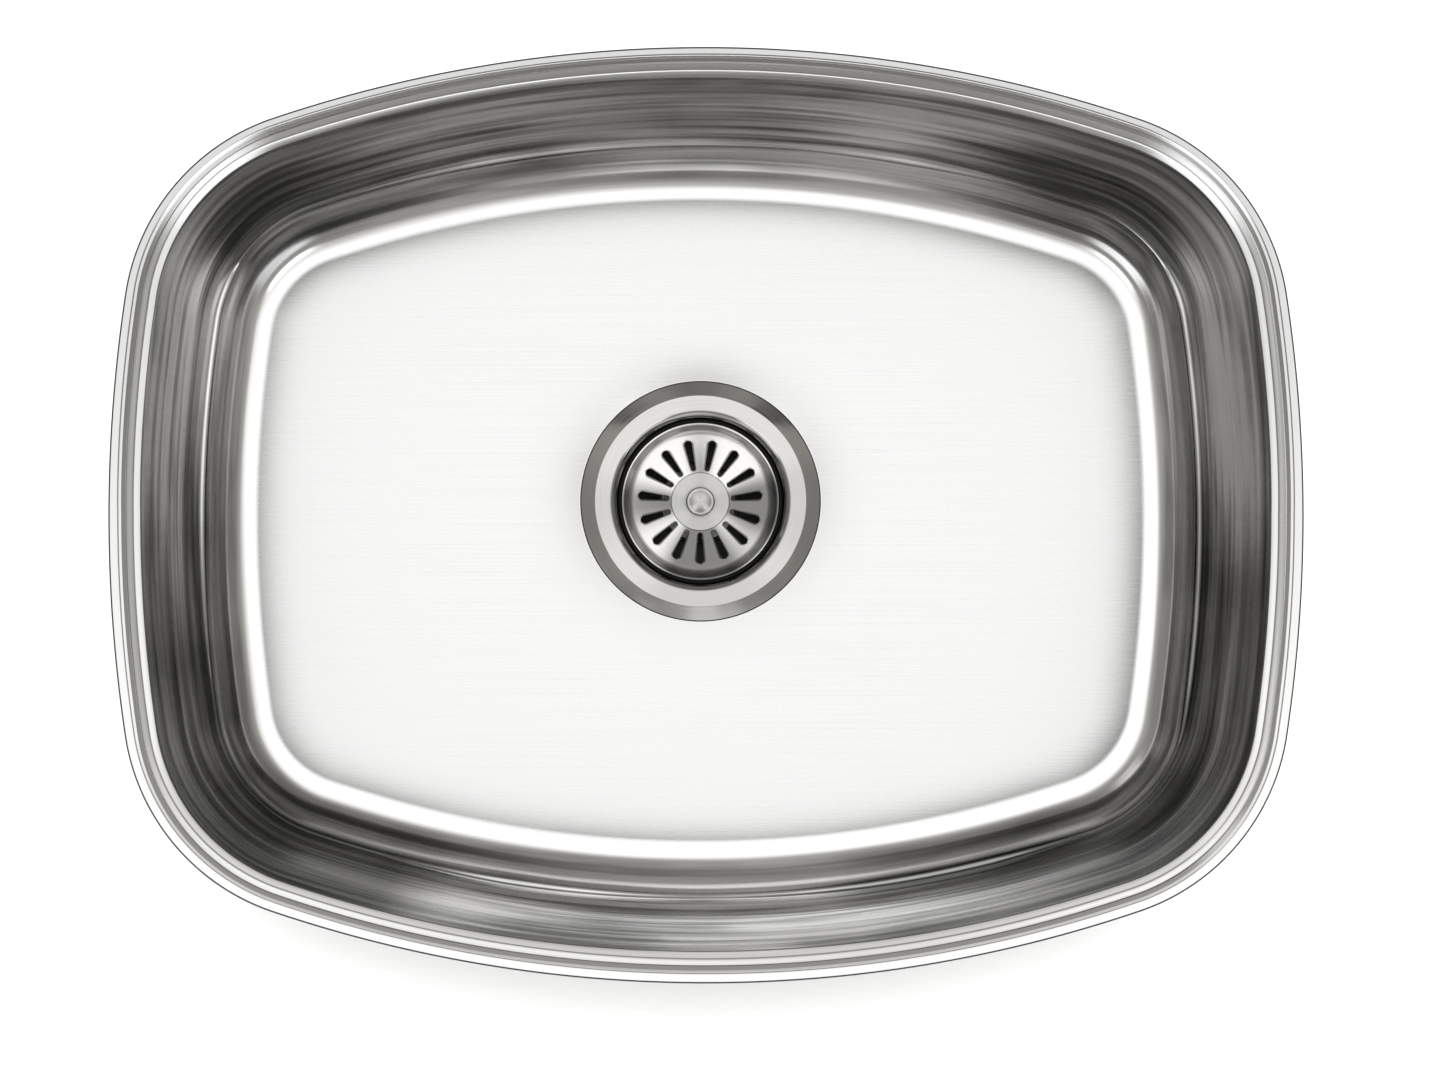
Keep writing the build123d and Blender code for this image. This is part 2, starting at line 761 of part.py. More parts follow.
for name, make in {
    "drain_body": drain_body,
    "flange_seal": flange_seal,
    "rubber_gasket": gasket,
    "friction_ring": friction_ring,
    "lock_nut": lock_nut,
    "post_socket": post_socket,
    "tailpiece": tailpiece,
    "tailpiece_washer": tailpiece_washer,
    "slip_nut": slip_nut,
    "strainer_basket": strainer_basket,
    "basket_seal": basket_seal,
    "knob_disc": knob_disc,
    "knob": knob,
    "basket_stem": stem,
    "spring_clip": spring_clip,
    "stem_washer": stem_washer,
    "stem_nut": stem_nut,
}.items():
    save(name, make())

places = clip_places()
for side, place in places.items():
    save(f"clip_arm_{side}", clip_arm(place))
save("clip_brackets", Compound(children=[clip_bracket(place) for place in places.values()]))
save("pivot_bolts", Compound(children=[pivot_bolt(place) for place in places.values()]))
save("wing_nuts", Compound(children=[wing_nut(place) for place in places.values()]))

right_arc, _, back_arc, _, left_arc, _, front_arc, _ = outline_arcs()
save("bottom_pad_left", bottom_pad(-1))
save("bottom_pad_right", bottom_pad(1))
save("wall_pad_right", wall_pad(right_arc, short_wall_pad_half_angle))
save("wall_pad_left", wall_pad(left_arc, short_wall_pad_half_angle))
save("wall_pad_back", wall_pad(back_arc, long_wall_pad_half_angle))
save("wall_pad_front", wall_pad(front_arc, long_wall_pad_half_angle))
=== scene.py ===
# Single-bowl steel kitchen sink with its basket strainer drain, seen from above.
# Metres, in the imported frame: +X to the right, +Y to the back, z = 0 at the rim's flat top.
from math import asin, atan2, ceil, cos, hypot, pi, radians, sin, sqrt, tan

import bmesh
import bpy
import numpy as np
from mathutils import Matrix, Vector


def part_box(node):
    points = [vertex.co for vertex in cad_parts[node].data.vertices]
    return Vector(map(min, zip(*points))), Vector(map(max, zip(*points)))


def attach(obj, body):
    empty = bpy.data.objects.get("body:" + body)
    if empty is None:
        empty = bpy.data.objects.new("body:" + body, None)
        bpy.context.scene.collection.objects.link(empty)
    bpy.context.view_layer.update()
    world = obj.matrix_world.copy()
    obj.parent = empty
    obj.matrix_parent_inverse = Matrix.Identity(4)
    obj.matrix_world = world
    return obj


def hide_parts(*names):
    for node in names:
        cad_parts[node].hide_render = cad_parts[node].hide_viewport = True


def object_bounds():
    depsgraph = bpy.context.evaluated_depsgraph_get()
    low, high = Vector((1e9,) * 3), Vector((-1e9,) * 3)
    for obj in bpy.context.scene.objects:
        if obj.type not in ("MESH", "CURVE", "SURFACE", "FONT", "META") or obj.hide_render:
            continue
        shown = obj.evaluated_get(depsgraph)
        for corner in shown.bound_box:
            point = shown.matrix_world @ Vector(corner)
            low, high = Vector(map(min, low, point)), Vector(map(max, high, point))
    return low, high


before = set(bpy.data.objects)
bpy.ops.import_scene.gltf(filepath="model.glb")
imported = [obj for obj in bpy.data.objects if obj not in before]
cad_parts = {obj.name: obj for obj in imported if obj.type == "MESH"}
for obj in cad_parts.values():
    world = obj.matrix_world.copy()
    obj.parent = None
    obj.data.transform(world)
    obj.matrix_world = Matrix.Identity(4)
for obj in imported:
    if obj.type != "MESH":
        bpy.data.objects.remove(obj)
cadLow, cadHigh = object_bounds()
print("frame loaded:", len(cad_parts), "nodes")

mm = 0.001
bowlLow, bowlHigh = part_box("sink_bowl")
flangeLow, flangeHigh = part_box("drain_body")
drainX = (flangeLow.x + flangeHigh.x) / 2
drainY = (flangeLow.y + flangeHigh.y) / 2
# the same in millimetres, for the shapes that are worked out in them
drainPlace = np.array([drainX, drainY]) / mm


def newObject(name, data):
    made = bpy.data.objects.new(name, data)
    bpy.context.scene.collection.objects.link(made)
    return made


# Camera.
photoCamera = {"place": (-0.0456, -0.038, 3.049), "aim": (0.0076, -0.0125, 0.0),
               "photoWidth": 1448, "focalPixels": 6852, "sensor": 36.0}


def placeCamera():
    data = bpy.data.cameras.new("photoCamera")
    data.sensor_width = photoCamera["sensor"]
    data.lens = photoCamera["sensor"] * photoCamera["focalPixels"] / photoCamera["photoWidth"]
    data.clip_end = 50
    eye = newObject("photoCamera", data)
    eye.location = photoCamera["place"]
    # the picture's up is +Y, so its right is +Y crossed with the way back from the aim
    back = (Vector(photoCamera["place"]) - Vector(photoCamera["aim"])).normalized()
    right = Vector((0, 1, 0)).cross(back).normalized()
    eye.rotation_euler = Matrix((right, back.cross(right), back)).transposed().to_euler()
    bpy.context.scene.camera = eye


placeCamera()
print("camera placed")


# Shapes.
def roundedPath(corners, longest, arcTurn, closed=False):
    # Straight runs between corners (across, up, radius). Each corner is cut by an arc that touches
    # both runs at radius * tan(turn / 2) from it, and long runs are divided evenly.
    points = np.array([corner[:2] for corner in corners], float)
    radii = [corner[2] if len(corner) > 2 else 0.0 for corner in corners]
    bits = []
    for index, radius in enumerate(radii):
        atEnd = not closed and index in (0, len(points) - 1)
        if atEnd or radius == 0:
            bits.append(points[index:index + 1])
            continue
        before = points[index] - points[index - 1]
        after = points[(index + 1) % len(points)] - points[index]
        before = before / np.hypot(*before)
        after = after / np.hypot(*after)
        turn = atan2(before[0] * after[1] - before[1] * after[0], float(before @ after))
        start = points[index] - before * radius * tan(abs(turn) / 2)
        toCentre = np.array([-before[1], before[0]]) * np.sign(turn) * radius
        angles = np.linspace(0, turn, max(2, ceil(abs(turn) / arcTurn)) + 1)
        spokes = np.stack([-toCentre[0] * np.cos(angles) + toCentre[1] * np.sin(angles),
                           -toCentre[0] * np.sin(angles) - toCentre[1] * np.cos(angles)], axis=1)
        bits.append(start + toCentre + spokes)
    path = np.vstack(bits)
    if closed:
        path = np.vstack([path, path[:1]])
    runs = np.hypot(*np.diff(path, axis=0).T)
    counts = np.maximum(1, np.ceil(runs / longest)).astype(int)
    filled = [np.linspace(path[k], path[k + 1], count, endpoint=False) for k, count in enumerate(counts)]
    if not closed:
        filled.append(path[-1:])
    return np.vstack(filled)


def pathHeading(path):
    # unit heading at each point of a path, from central differences
    heading = np.gradient(path, axis=0)
    return heading / np.hypot(heading[:, 0], heading[:, 1])[:, None]


def pathNormals(path):
    # unit normal to the right of the heading
    heading = pathHeading(path)
    return np.stack([heading[:, 1], -heading[:, 0]], axis=1)


def withHeights(flat, section):
    # a grid of places across, with the second value of each point of the section added as its height
    return np.concatenate([flat, np.broadcast_to(section[None, :, 1:], flat.shape[:2] + (1,))], axis=2)


def gridPiece(name, points, grain, closeAlong=False, keep=None, **values):
    # Quads over a grid of points[across, along]; across goes once round, along follows the section.
    # Each further value becomes an attribute of the mesh.
    across, along = points.shape[:2]
    quadsAlong = along if closeAlong else along - 1
    first, second = np.meshgrid(np.arange(across), np.arange(quadsAlong), indexing="ij")
    if keep is not None:
        chosen = keep[first, second]
        first, second = first[chosen], second[chosen]
    nextFirst, nextSecond = (first + 1) % across, (second + 1) % along
    quads = np.stack([first * along + second, nextFirst * along + second,
                      nextFirst * along + nextSecond, first * along + nextSecond], axis=-1).reshape(-1, 4)
    mesh = bpy.data.meshes.new(name)
    mesh.vertices.add(across * along)
    mesh.vertices.foreach_set("co", points.reshape(-1).astype(np.float32))
    mesh.loops.add(quads.size)
    mesh.loops.foreach_set("vertex_index", quads.reshape(-1).astype(np.int32))
    mesh.polygons.add(len(quads))
    mesh.polygons.foreach_set("loop_start", (np.arange(len(quads)) * 4).astype(np.int32))
    direction = mesh.attributes.new("grain", "FLOAT_VECTOR", "POINT")
    direction.data.foreach_set("vector", grain.reshape(-1).astype(np.float32))
    # distance along the section in metres, for patterns that follow the surface
    steps = np.linalg.norm(np.diff(points, axis=1), axis=2).mean(axis=0)
    values["sectionWay"] = np.concatenate([[0], np.cumsum(steps)])
    for label, value in values.items():
        mesh.attributes.new(label, "FLOAT", "POINT").data.foreach_set(
            "value", np.broadcast_to(value, (across, along)).reshape(-1).astype(np.float32))
    mesh.update(calc_edges=True)
    mesh.validate()
    return newObject(name, mesh)


# faces that meet at more degrees than this keep a crisp edge between them
crispAngle = 32


def tidyMesh(piece, sharpAngle=crispAngle, weld=1e-7, outward=True):
    # Closes seams and poles, points faces outwards and shades smoothly up to the sharp angle.
    work = bmesh.new()
    work.from_mesh(piece.data)
    bmesh.ops.remove_doubles(work, verts=work.verts, dist=weld)
    loose = [vertex for vertex in work.verts if not vertex.link_faces]
    bmesh.ops.delete(work, geom=loose, context="VERTS")
    if outward:
        bmesh.ops.recalc_face_normals(work, faces=work.faces)
    work.to_mesh(piece.data)
    work.free()
    piece.data.shade_smooth()
    piece.data.set_sharp_from_angle(angle=radians(sharpAngle))
    return piece


def finishPiece(piece, material, body, node):
    piece.data.materials.append(material)
    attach(piece, body)
    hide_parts(node)
    return piece


# Materials.
def fill(tree, node, inputs):
    # each input takes a link from another node's output, or a plain value
    for socket, value in inputs.items():
        target = node.inputs[socket]
        if isinstance(value, bpy.types.NodeSocket):
            tree.links.new(value, target)
        else:
            target.default_value = value


def addNode(tree, kind, inputs=None, **settings):
    made = tree.nodes.new(kind)
    for name, value in settings.items():
        setattr(made, name, value)
    fill(tree, made, inputs or {})
    return made


def mathNode(tree, operation, *values):
    return addNode(tree, "ShaderNodeMath", dict(enumerate(values)), operation=operation).outputs[0]


def multiply(tree, first, second):
    return mathNode(tree, "MULTIPLY", first, second)


def mix(tree, share, first, second):
    return addNode(tree, "ShaderNodeMix", {0: share, 2: first, 3: second}).outputs[0]


def mixColors(tree, share, first, second):
    colors = {"Factor": share, 6: (*first, 1) if isinstance(first, tuple) else first, 7: (*second, 1)}
    return addNode(tree, "ShaderNodeMix", colors, data_type="RGBA").outputs[2]


def ramp(tree, value, reads, gives=(0, 1), kind="LINEAR"):
    # value carried from one range to another, and level outside them
    inputs = dict(enumerate((value, *reads, *gives)))
    return addNode(tree, "ShaderNodeMapRange", inputs, interpolation_type=kind).outputs[0]


def noise(tree, vector, scale=1.0, stretch=(1, 1, 1), detail=2.0, rough=0.5):
    placed = addNode(tree, "ShaderNodeMapping", {"Vector": vector, "Scale": stretch}).outputs[0]
    return addNode(tree, "ShaderNodeTexNoise", {"Vector": placed, "Scale": scale, "Detail": detail,
                                                "Roughness": rough}).outputs["Fac"]


def attribute(tree, name, output="Fac"):
    return addNode(tree, "ShaderNodeAttribute", attribute_name=name).outputs[output]


def objectPlace(tree):
    return addNode(tree, "ShaderNodeTexCoord").outputs["Object"]


def apart(tree, vector):
    return addNode(tree, "ShaderNodeSeparateXYZ", {0: vector}).outputs


def newMaterial(name, color, metallic, roughness, **sockets):
    material = bpy.data.materials.new(name)
    material.use_nodes = True
    tree = material.node_tree
    shader = tree.nodes["Principled BSDF"]
    sockets = {socket.replace("_", " "): value for socket, value in sockets.items()}
    fill(tree, shader, {"Base Color": (*color, 1), "Metallic": metallic, "Roughness": roughness, **sockets})
    return material, tree, shader


def toned(tree, color, tone):
    # colour times a grey tone
    return addNode(tree, "ShaderNodeVectorMath", {0: color, 3: tone}, operation="SCALE").outputs[0]


def bumps(tree, *layers):
    # bumps one over the other, each a strength, a depth in metres and a height
    carried = {}
    for strength, depth, height in layers:
        inputs = {"Strength": strength, "Distance": depth, "Height": height}
        carried = {"Normal": addNode(tree, "ShaderNodeBump", {**inputs, **carried}).outputs[0]}
    return carried["Normal"]


# the parts of a noise's range that most of it fills
noiseRange = (0.3, 0.7)
noiseWide = (0.25, 0.75)


def swung(tree, rough, swing, lines):
    # roughness that swings with a noise
    return ramp(tree, lines, noiseRange, (rough + swing[0], rough + swing[1]))


bowlFinish = {"color": (0.87, 0.87, 0.87), "bottomRough": 0.27, "wallRough": 0.17,
              "roughSwing": (-0.04, 0.04), "bottomStretch": 0.3, "wallStretch": 0.6, "lineDepth": 5e-6,
              "bandDepth": 4e-4,
              # brush lines of the bottom, per metre along X, Y and Z
              "brushLines": (7, 1400, 40),
              # patterns of the walls, per metre round the bowl and down its section
              "fineLines": (4, 950), "bands": (2.4, 75), "streaks": (4.5, 60), "patches": (9, 8),
              # the walls' painted reflection tone: share of streaks, noise range read, and range of the tone
              "streakShare": 0.6, "polishReads": (0.41, 0.59), "wallTone": (0.45, 1.22),
              "bottomTone": (0.91, 1.03),
              # the rim takes an even tone in place of the walls' painted reflections; it sets in between
              # these heights, and is painted darker towards the back, as shade, between these places in Y
              "rimHeights": (-0.008, -0.005), "rimPlaces": (-0.15, 0.17), "rimTone": (1.0, 0.72),
              # the swell round the bottom takes an even tone a little above the rim's, a painted highlight;
              # it sets in between these heights
              "swellHeights": (-0.1974, -0.1990), "swellTone": 1.05}


def sectionPlace(tree, aroundScale, alongScale):
    # coordinates that change slowly round the piece and fast along its section, without a seam
    along = attribute(tree, "sectionWay")
    parts = apart(tree, objectPlace(tree))
    return addNode(tree, "ShaderNodeCombineXYZ", {
        "X": multiply(tree, parts["X"], aroundScale),
        "Y": multiply(tree, parts["Y"], aroundScale),
        "Z": multiply(tree, along, alongScale)}).outputs[0]


def bowlSteel():
    f = bowlFinish
    material, tree, shader = newMaterial("bowlSteel", f["color"], 1.0, f["wallRough"])
    place = objectPlace(tree)
    onBottom = attribute(tree, "bottomShare")
    stretch = ramp(tree, onBottom, (0, 1), (f["wallStretch"], f["bottomStretch"]))
    # straight brush lines along X on the bottom, polishing lines and draw bands round the walls
    bottomLines = noise(tree, place, stretch=f["brushLines"], detail=3.0, rough=0.65)
    wallLines = noise(tree, sectionPlace(tree, *f["fineLines"]), detail=3.0, rough=0.6)
    wallBands = noise(tree, sectionPlace(tree, *f["bands"]))
    lines = mix(tree, onBottom, wallLines, bottomLines)
    # painted reflections: streaks and soft patches make the wall lighter and darker, times the painted tone
    # round the bowl; the rim and the swell round the bottom take even tones instead
    streaks = noise(tree, sectionPlace(tree, *f["streaks"]), detail=4.0, rough=0.6)
    patches = noise(tree, sectionPlace(tree, *f["patches"]))
    paintedPatchTone = mathNode(tree, "ADD", multiply(tree, streaks, f["streakShare"]),
                      multiply(tree, patches, 1 - f["streakShare"]))
    paintedPatchTone = ramp(tree, paintedPatchTone, f["polishReads"], f["wallTone"])
    wallTone = multiply(tree, paintedPatchTone, attribute(tree, "polishRound"))
    parts = apart(tree, place)
    onRim = ramp(tree, parts["Z"], f["rimHeights"], kind="SMOOTHSTEP")
    # painted shade: the rim is painted darker towards the back
    rimTone = ramp(tree, parts["Y"], f["rimPlaces"], f["rimTone"], "SMOOTHSTEP")
    # painted highlight: the swell round the bottom is painted evenly a little brighter
    onSwell = ramp(tree, parts["Z"], f["swellHeights"], kind="SMOOTHSTEP")
    wallTone = mix(tree, onSwell, mix(tree, onRim, wallTone, rimTone), f["swellTone"])
    tone = mix(tree, onBottom, wallTone, ramp(tree, bottomLines, noiseRange, f["bottomTone"]))
    rough = ramp(tree, onBottom, (0, 1), (f["wallRough"], f["bottomRough"]))
    onWall = mathNode(tree, "SUBTRACT", 1.0, onBottom)
    # the painted reflection tone also sets the specular tint, so darker painted places are less bright at
    # grazing angles
    fill(tree, shader, {
        "Base Color": toned(tree, f["color"], tone),
        "Specular Tint": mathNode(tree, "MINIMUM", tone, 1.0),
        "Roughness": mathNode(tree, "ADD", rough, ramp(tree, lines, noiseRange, f["roughSwing"])),
        "Tangent": attribute(tree, "grain", "Vector"),
        "Anisotropic": stretch,
        "Normal": bumps(tree, (1.0, f["lineDepth"], lines), (onWall, f["bandDepth"], wallBands))})
    return material


turnedFinish = {"stretch": 0.4, "lineDepth": 2e-6,
                # lines and waves, per metre round the axis and along the section
                "lines": (30, 2600), "waves": (42, 12), "lineTone": (0.9, 1.0), "roughSwing": (-0.03, 0.05),
                # sectors of painted reflection: count of the narrow ones, weight of the broad one, and the
                # noise
                "narrow": 4.0, "broad": 0.5, "cloudScale": 2.2, "cloudStretch": (1, 1, 0.6),
                "cloudSwing": 4.0, "sectorReads": (-0.9, 1.0)}


def turnedSteel(name, color, metallic, rough, waveDepth, paintedSectorTone):
    # Steel turned on a lathe: fine lines round the drain's axis that spread light across them, slight
    # waves, and sectors of painted reflection, lighter and darker by broad * sin(angle) - cos(narrow *
    # angle) and a noise.
    f = turnedFinish
    material, tree, shader = newMaterial(name, color, metallic, rough, Anisotropic=f["stretch"])
    spoke = addNode(tree, "ShaderNodeVectorMath", {0: objectPlace(tree), 1: (drainX, drainY, 0)},
                    operation="SUBTRACT").outputs[0]
    parts = apart(tree, spoke)
    angle = mathNode(tree, "ARCTAN2", parts["Y"], parts["X"])
    lobes = mathNode(tree, "SUBTRACT", multiply(tree, mathNode(tree, "SINE", angle), f["broad"]),
                     mathNode(tree, "COSINE", multiply(tree, angle, f["narrow"])))
    unit = addNode(tree, "ShaderNodeVectorMath", {0: spoke}, operation="NORMALIZE").outputs[0]
    cloud = noise(tree, unit, f["cloudScale"], f["cloudStretch"])
    cloud = multiply(tree, mathNode(tree, "SUBTRACT", cloud, 0.5), f["cloudSwing"])
    sectors = ramp(tree, mathNode(tree, "ADD", lobes, cloud), f["sectorReads"], paintedSectorTone, "SMOOTHSTEP")
    lines = noise(tree, sectionPlace(tree, *f["lines"]), rough=0.6)
    waves = noise(tree, sectionPlace(tree, *f["waves"]), detail=1.0)
    tone = multiply(tree, sectors, ramp(tree, lines, noiseWide, f["lineTone"]))
    fill(tree, shader, {
        "Base Color": toned(tree, color, tone),
        "Roughness": swung(tree, rough, f["roughSwing"], lines),
        "Tangent": attribute(tree, "grain", "Vector"),
        "Normal": bumps(tree, (1.0, f["lineDepth"], lines), (1.0, waveDepth, waves))})
    return material


plainFinish = {"cloudShare": 0.06, "roughSwing": (-0.05, 0.07), "bumpStrength": 0.6}


def plainMaterial(name, color, metallic, rough, speckles, depth, tones=(0.8, 1.05), **sockets):
    # moulded, cast or plated finish: a cloudy tone, and speckles (per metre) in its gloss and bump
    f = plainFinish
    material, tree, shader = newMaterial(name, color, metallic, rough, **sockets)
    place = objectPlace(tree)
    speckle = noise(tree, place, speckles, detail=4.0, rough=0.6)
    cloud = noise(tree, place, speckles * f["cloudShare"], detail=3.0)
    fill(tree, shader, {
        "Base Color": toned(tree, color, ramp(tree, cloud, noiseWide, tones)),
        "Roughness": swung(tree, rough, f["roughSwing"], speckle),
        "Normal": bumps(tree, (f["bumpStrength"], depth, speckle))})
    return material


steelOfBowl = bowlSteel()
# name, colour, metallic, roughness, depth of the waves in metres and range of the painted reflection
# sectors' tone
steelOfDrain = turnedSteel("drainSteel", (0.62, 0.612, 0.6), 1.0, 0.09, 1.5e-4, (0.92, 1.1))
steelOfBasket = turnedSteel("basketSteel", (0.74, 0.73, 0.715), 0.84, 0.22, 5e-4, (0.3, 1.2))
steelOfKnob = turnedSteel("knobSteel", (0.55, 0.545, 0.54), 1.0, 0.25, 6e-5, (0.94, 1.06))
# name, colour, metallic, roughness, speckles per metre, their depth in metres and range of the tone
# near black, painted shade for the dark outline along the cut edges of the bowl's rim and the drain's flange
cutSteel = plainMaterial("cutSteel", (0.035, 0.035, 0.033), 0.0, 0.6, 2500, 1e-5, Specular_IOR_Level=0.25)
# near black steel, painted shade for the hollows seen through the basket's slots
dullSteel = plainMaterial("dullSteel", (0.05, 0.05, 0.048), 0.6, 0.5, 1500, 1e-5)
blackRubber = plainMaterial("blackRubber", (0.004, 0.004, 0.004), 0.0, 0.6, 3000, 1e-5,
                            Specular_IOR_Level=0.15)
putty = plainMaterial("greyPutty", (0.42, 0.41, 0.38), 0.0, 0.7, 900, 3e-5)
fibre = plainMaterial("pressedFibre", (0.40, 0.29, 0.18), 0.0, 0.85, 1500, 4e-5, (0.7, 1.1))
zincCast = plainMaterial("castZinc", (0.60, 0.61, 0.62), 1.0, 0.38, 1200, 1.5e-5, (0.85, 1.03))
nylon = plainMaterial("naturalNylon", (0.80, 0.79, 0.74), 0.0, 0.45, 700, 1e-5, (0.94, 1.02))
zincPlate = plainMaterial("zincPlate", (0.64, 0.65, 0.66), 1.0, 0.30, 1800, 6e-6, (0.88, 1.02))
padRubber = plainMaterial("padRubber", (0.085, 0.085, 0.09), 0.0, 0.8, 1100, 9e-5, (0.8, 1.15))
print("materials made")


# Bowl, in millimetres.
bowl = {"longEdgeRadius": 602, "shortEdgeRadius": 661, "cornerRadius": 98, "depth": 200, "sheet": 1.2,
        "edgeRound": 0.58, "cutWidth": 0.75,
        # rim and shoulder: inset, drop and corner radius of each bend, from the flat land inwards
        "bends": [(4.3, 0, 2.0), (5.7, 1.45, 0.3), (7.45, 2.3, 0.15), (8.0, 2.95, 0.12), (10.95, 3.9, 3.0),
                  (13.2, 6.0, 2.6)],
        # the same for the lower face's plainer bends, before they are set off by the sheet
        "lowerBends": [(4.4, 0, 3.0), (8.0, 2.9, 3.0), (13.2, 6.0, 3.8)],
        # the rim's step stands further out towards the back: insets over which that sets in, heights
        # over which it fades down the upper face, and insets where it comes and goes on the lower
        "backStep": 1.0, "stepInsets": (0.8, 4.3), "stepHeights": (-60, -10),
        "stepInsetsBelow": (0.8, 4.4, 5.5, 10),
        "wallTopInset": 14.3, "wallTopDrop": 6.437, "wallHandover": 20, "bottomInset": 56,
        "bottomFillet": 25,
        # rows down the wall: first height, last height over the draw line, count; then close by the line
        "wallRows": (-26, 5, 18), "lineRows": [(3.4, 1.1, 5), (0.8, -0.8, 27)],
        # turns of the fillet's rows in degrees and their count, and the least gap to the wall's last row
        "filletRows": (84, 3, 28), "rowGap": 0.15,
        # draw line: a soft ledge this far above the bottom, over which the wall stands out by the shift,
        # and under which it stands in by the shift
        "lineAbove": 22.5, "lineShift": 1.3, "lineSoftness": 0.34,
        # it dies out over these heights on the upper and the lower face, there below the wall pads
        "lineReach": 60, "lineReachBelow": 24,
        # its share by the way round, clockwise from the middle of the left side; it fades at the corners
        "lineRound": [(0, 1), (0.075, 1), (0.09, 0.2), (0.14, 0.35), (0.18, 0.85), (0.28, 0.65), (0.315, 1),
                      (0.345, 0.35), (0.41, 0.35), (0.425, 1), (0.55, 0.9), (0.575, 0.25), (0.63, 0.3),
                      (0.66, 1), (0.7, 0.9), (0.75, 0.55), (0.81, 1), (0.85, 0.25), (0.95, 0.3), (1, 1)],
        # painted reflection tone of the walls by the same way round: lighter and darker stretches in place
        # of reflections
        "polishRound": [(0, 0.8), (0.04, 1.1), (0.075, 1.15), (0.09, 0.78), (0.13, 0.74), (0.18, 1.05),
                        (0.24, 0.75), (0.31, 1.15), (0.345, 0.82), (0.375, 0.66), (0.4, 0.7), (0.43, 1.05),
                        (0.49, 0.9), (0.52, 0.5), (0.57, 0.62), (0.63, 0.5), (0.66, 0.72), (0.7, 1.15),
                        (0.755, 1.1), (0.8, 1.2), (0.825, 1.05), (0.845, 0.45), (0.88, 0.42), (0.93, 0.7),
                        (0.958, 0.4), (1, 0.75)],
        # it gets evener between these drops, and swings most at the middle one
        "polishDrops": (120, 170), "polishEven": (1, 0.5), "polishMiddle": 105, "polishHeight": 30,
        "polishSwing": 0.28,
        # the bottom: a swell inside the fillet, then flat, with a dish round the drain; its brushing
        # sets in over this width before the end of the fillet
        "swell": 1.2, "swellReach": 22, "swellRows": 10, "brushStart": 1.4, "bottomRings": 14,
        "holeRadius": 44.45, "seatRadius": 57.4, "seatBlend": 1, "dishDrop": 3, "dishSlope": 12.5,
        "dishBlend": 170, "dishMargin": 0.5,
        # points round the outline, and rows of the lower section among which the cut edge lies
        "longSamples": 76, "shortSamples": 40, "cornerSamples": 42, "edgeRows": 12}


def outlineSamples():
    # Centre, direction and radius of the rim's edge at each place round it: four long arcs joined by
    # four corner arcs, whose centres lie where circles of radius (long - corner) and (short - corner) meet.
    halfLength, halfWidth = bowlHigh.x / mm, bowlHigh.y / mm
    backCentre = halfWidth - bowl["longEdgeRadius"]
    rightCentre = halfLength - bowl["shortEdgeRadius"]
    gap = hypot(rightCentre, backCentre)
    backReach = bowl["longEdgeRadius"] - bowl["cornerRadius"]
    rightReach = bowl["shortEdgeRadius"] - bowl["cornerRadius"]
    lengthwise = (backReach**2 - rightReach**2 + gap**2) / (2 * gap)
    crosswise = sqrt(backReach**2 - lengthwise**2)
    cornerX = (lengthwise * rightCentre - crosswise * backCentre) / gap
    cornerY = backCentre - (lengthwise * backCentre + crosswise * rightCentre) / gap
    longHalf = atan2(cornerX, cornerY - backCentre)
    shortHalf = atan2(cornerY, cornerX - rightCentre)
    quarter = pi / 2
    sides = [(rightCentre, 0, bowl["shortEdgeRadius"], shortHalf, bowl["shortSamples"]),
             (0, backCentre, bowl["longEdgeRadius"], longHalf, bowl["longSamples"])]
    arcs = []
    for turn, (signX, signY) in enumerate([(1, 1), (-1, 1), (-1, -1), (1, -1)]):
        # the side that faces this turn, then the corner after it
        x, y, radius, half, samples = sides[turn % 2]
        nextHalf, middle, facing = sides[(turn + 1) % 2][3], turn * quarter, 1 if turn < 2 else -1
        arcs += [(facing * x, facing * y, radius, middle - half, middle + half, samples),
                 (signX * cornerX, signY * cornerY, bowl["cornerRadius"], middle + half,
                  middle + quarter - nextHalf, bowl["cornerSamples"])]
    angles = np.concatenate([np.linspace(low, high, count, endpoint=False) for *_, low, high, count in arcs])
    counts = [arc[5] for arc in arcs]
    centres = np.repeat(np.array([arc[:2] for arc in arcs], float), counts, axis=0)
    radii = np.repeat([float(arc[2]) for arc in arcs], counts)
    return centres, np.stack([np.cos(angles), np.sin(angles)], axis=1), radii


def meetWall(bends, wallX, draft):
    # the shoulder's last run goes on until it meets the wall's line
    corners = [(inset, -drop, radius) for inset, drop, radius in bends]
    (x0, z0, _), (x1, z1, last) = corners[-2:]
    slope = (z1 - z0) / (x1 - x0)
    meet = (wallX / tan(draft) - z1 + slope * x1) / (slope + 1 / tan(draft))
    return corners[:-1] + [(meet, z1 + slope * (meet - x1), last)]


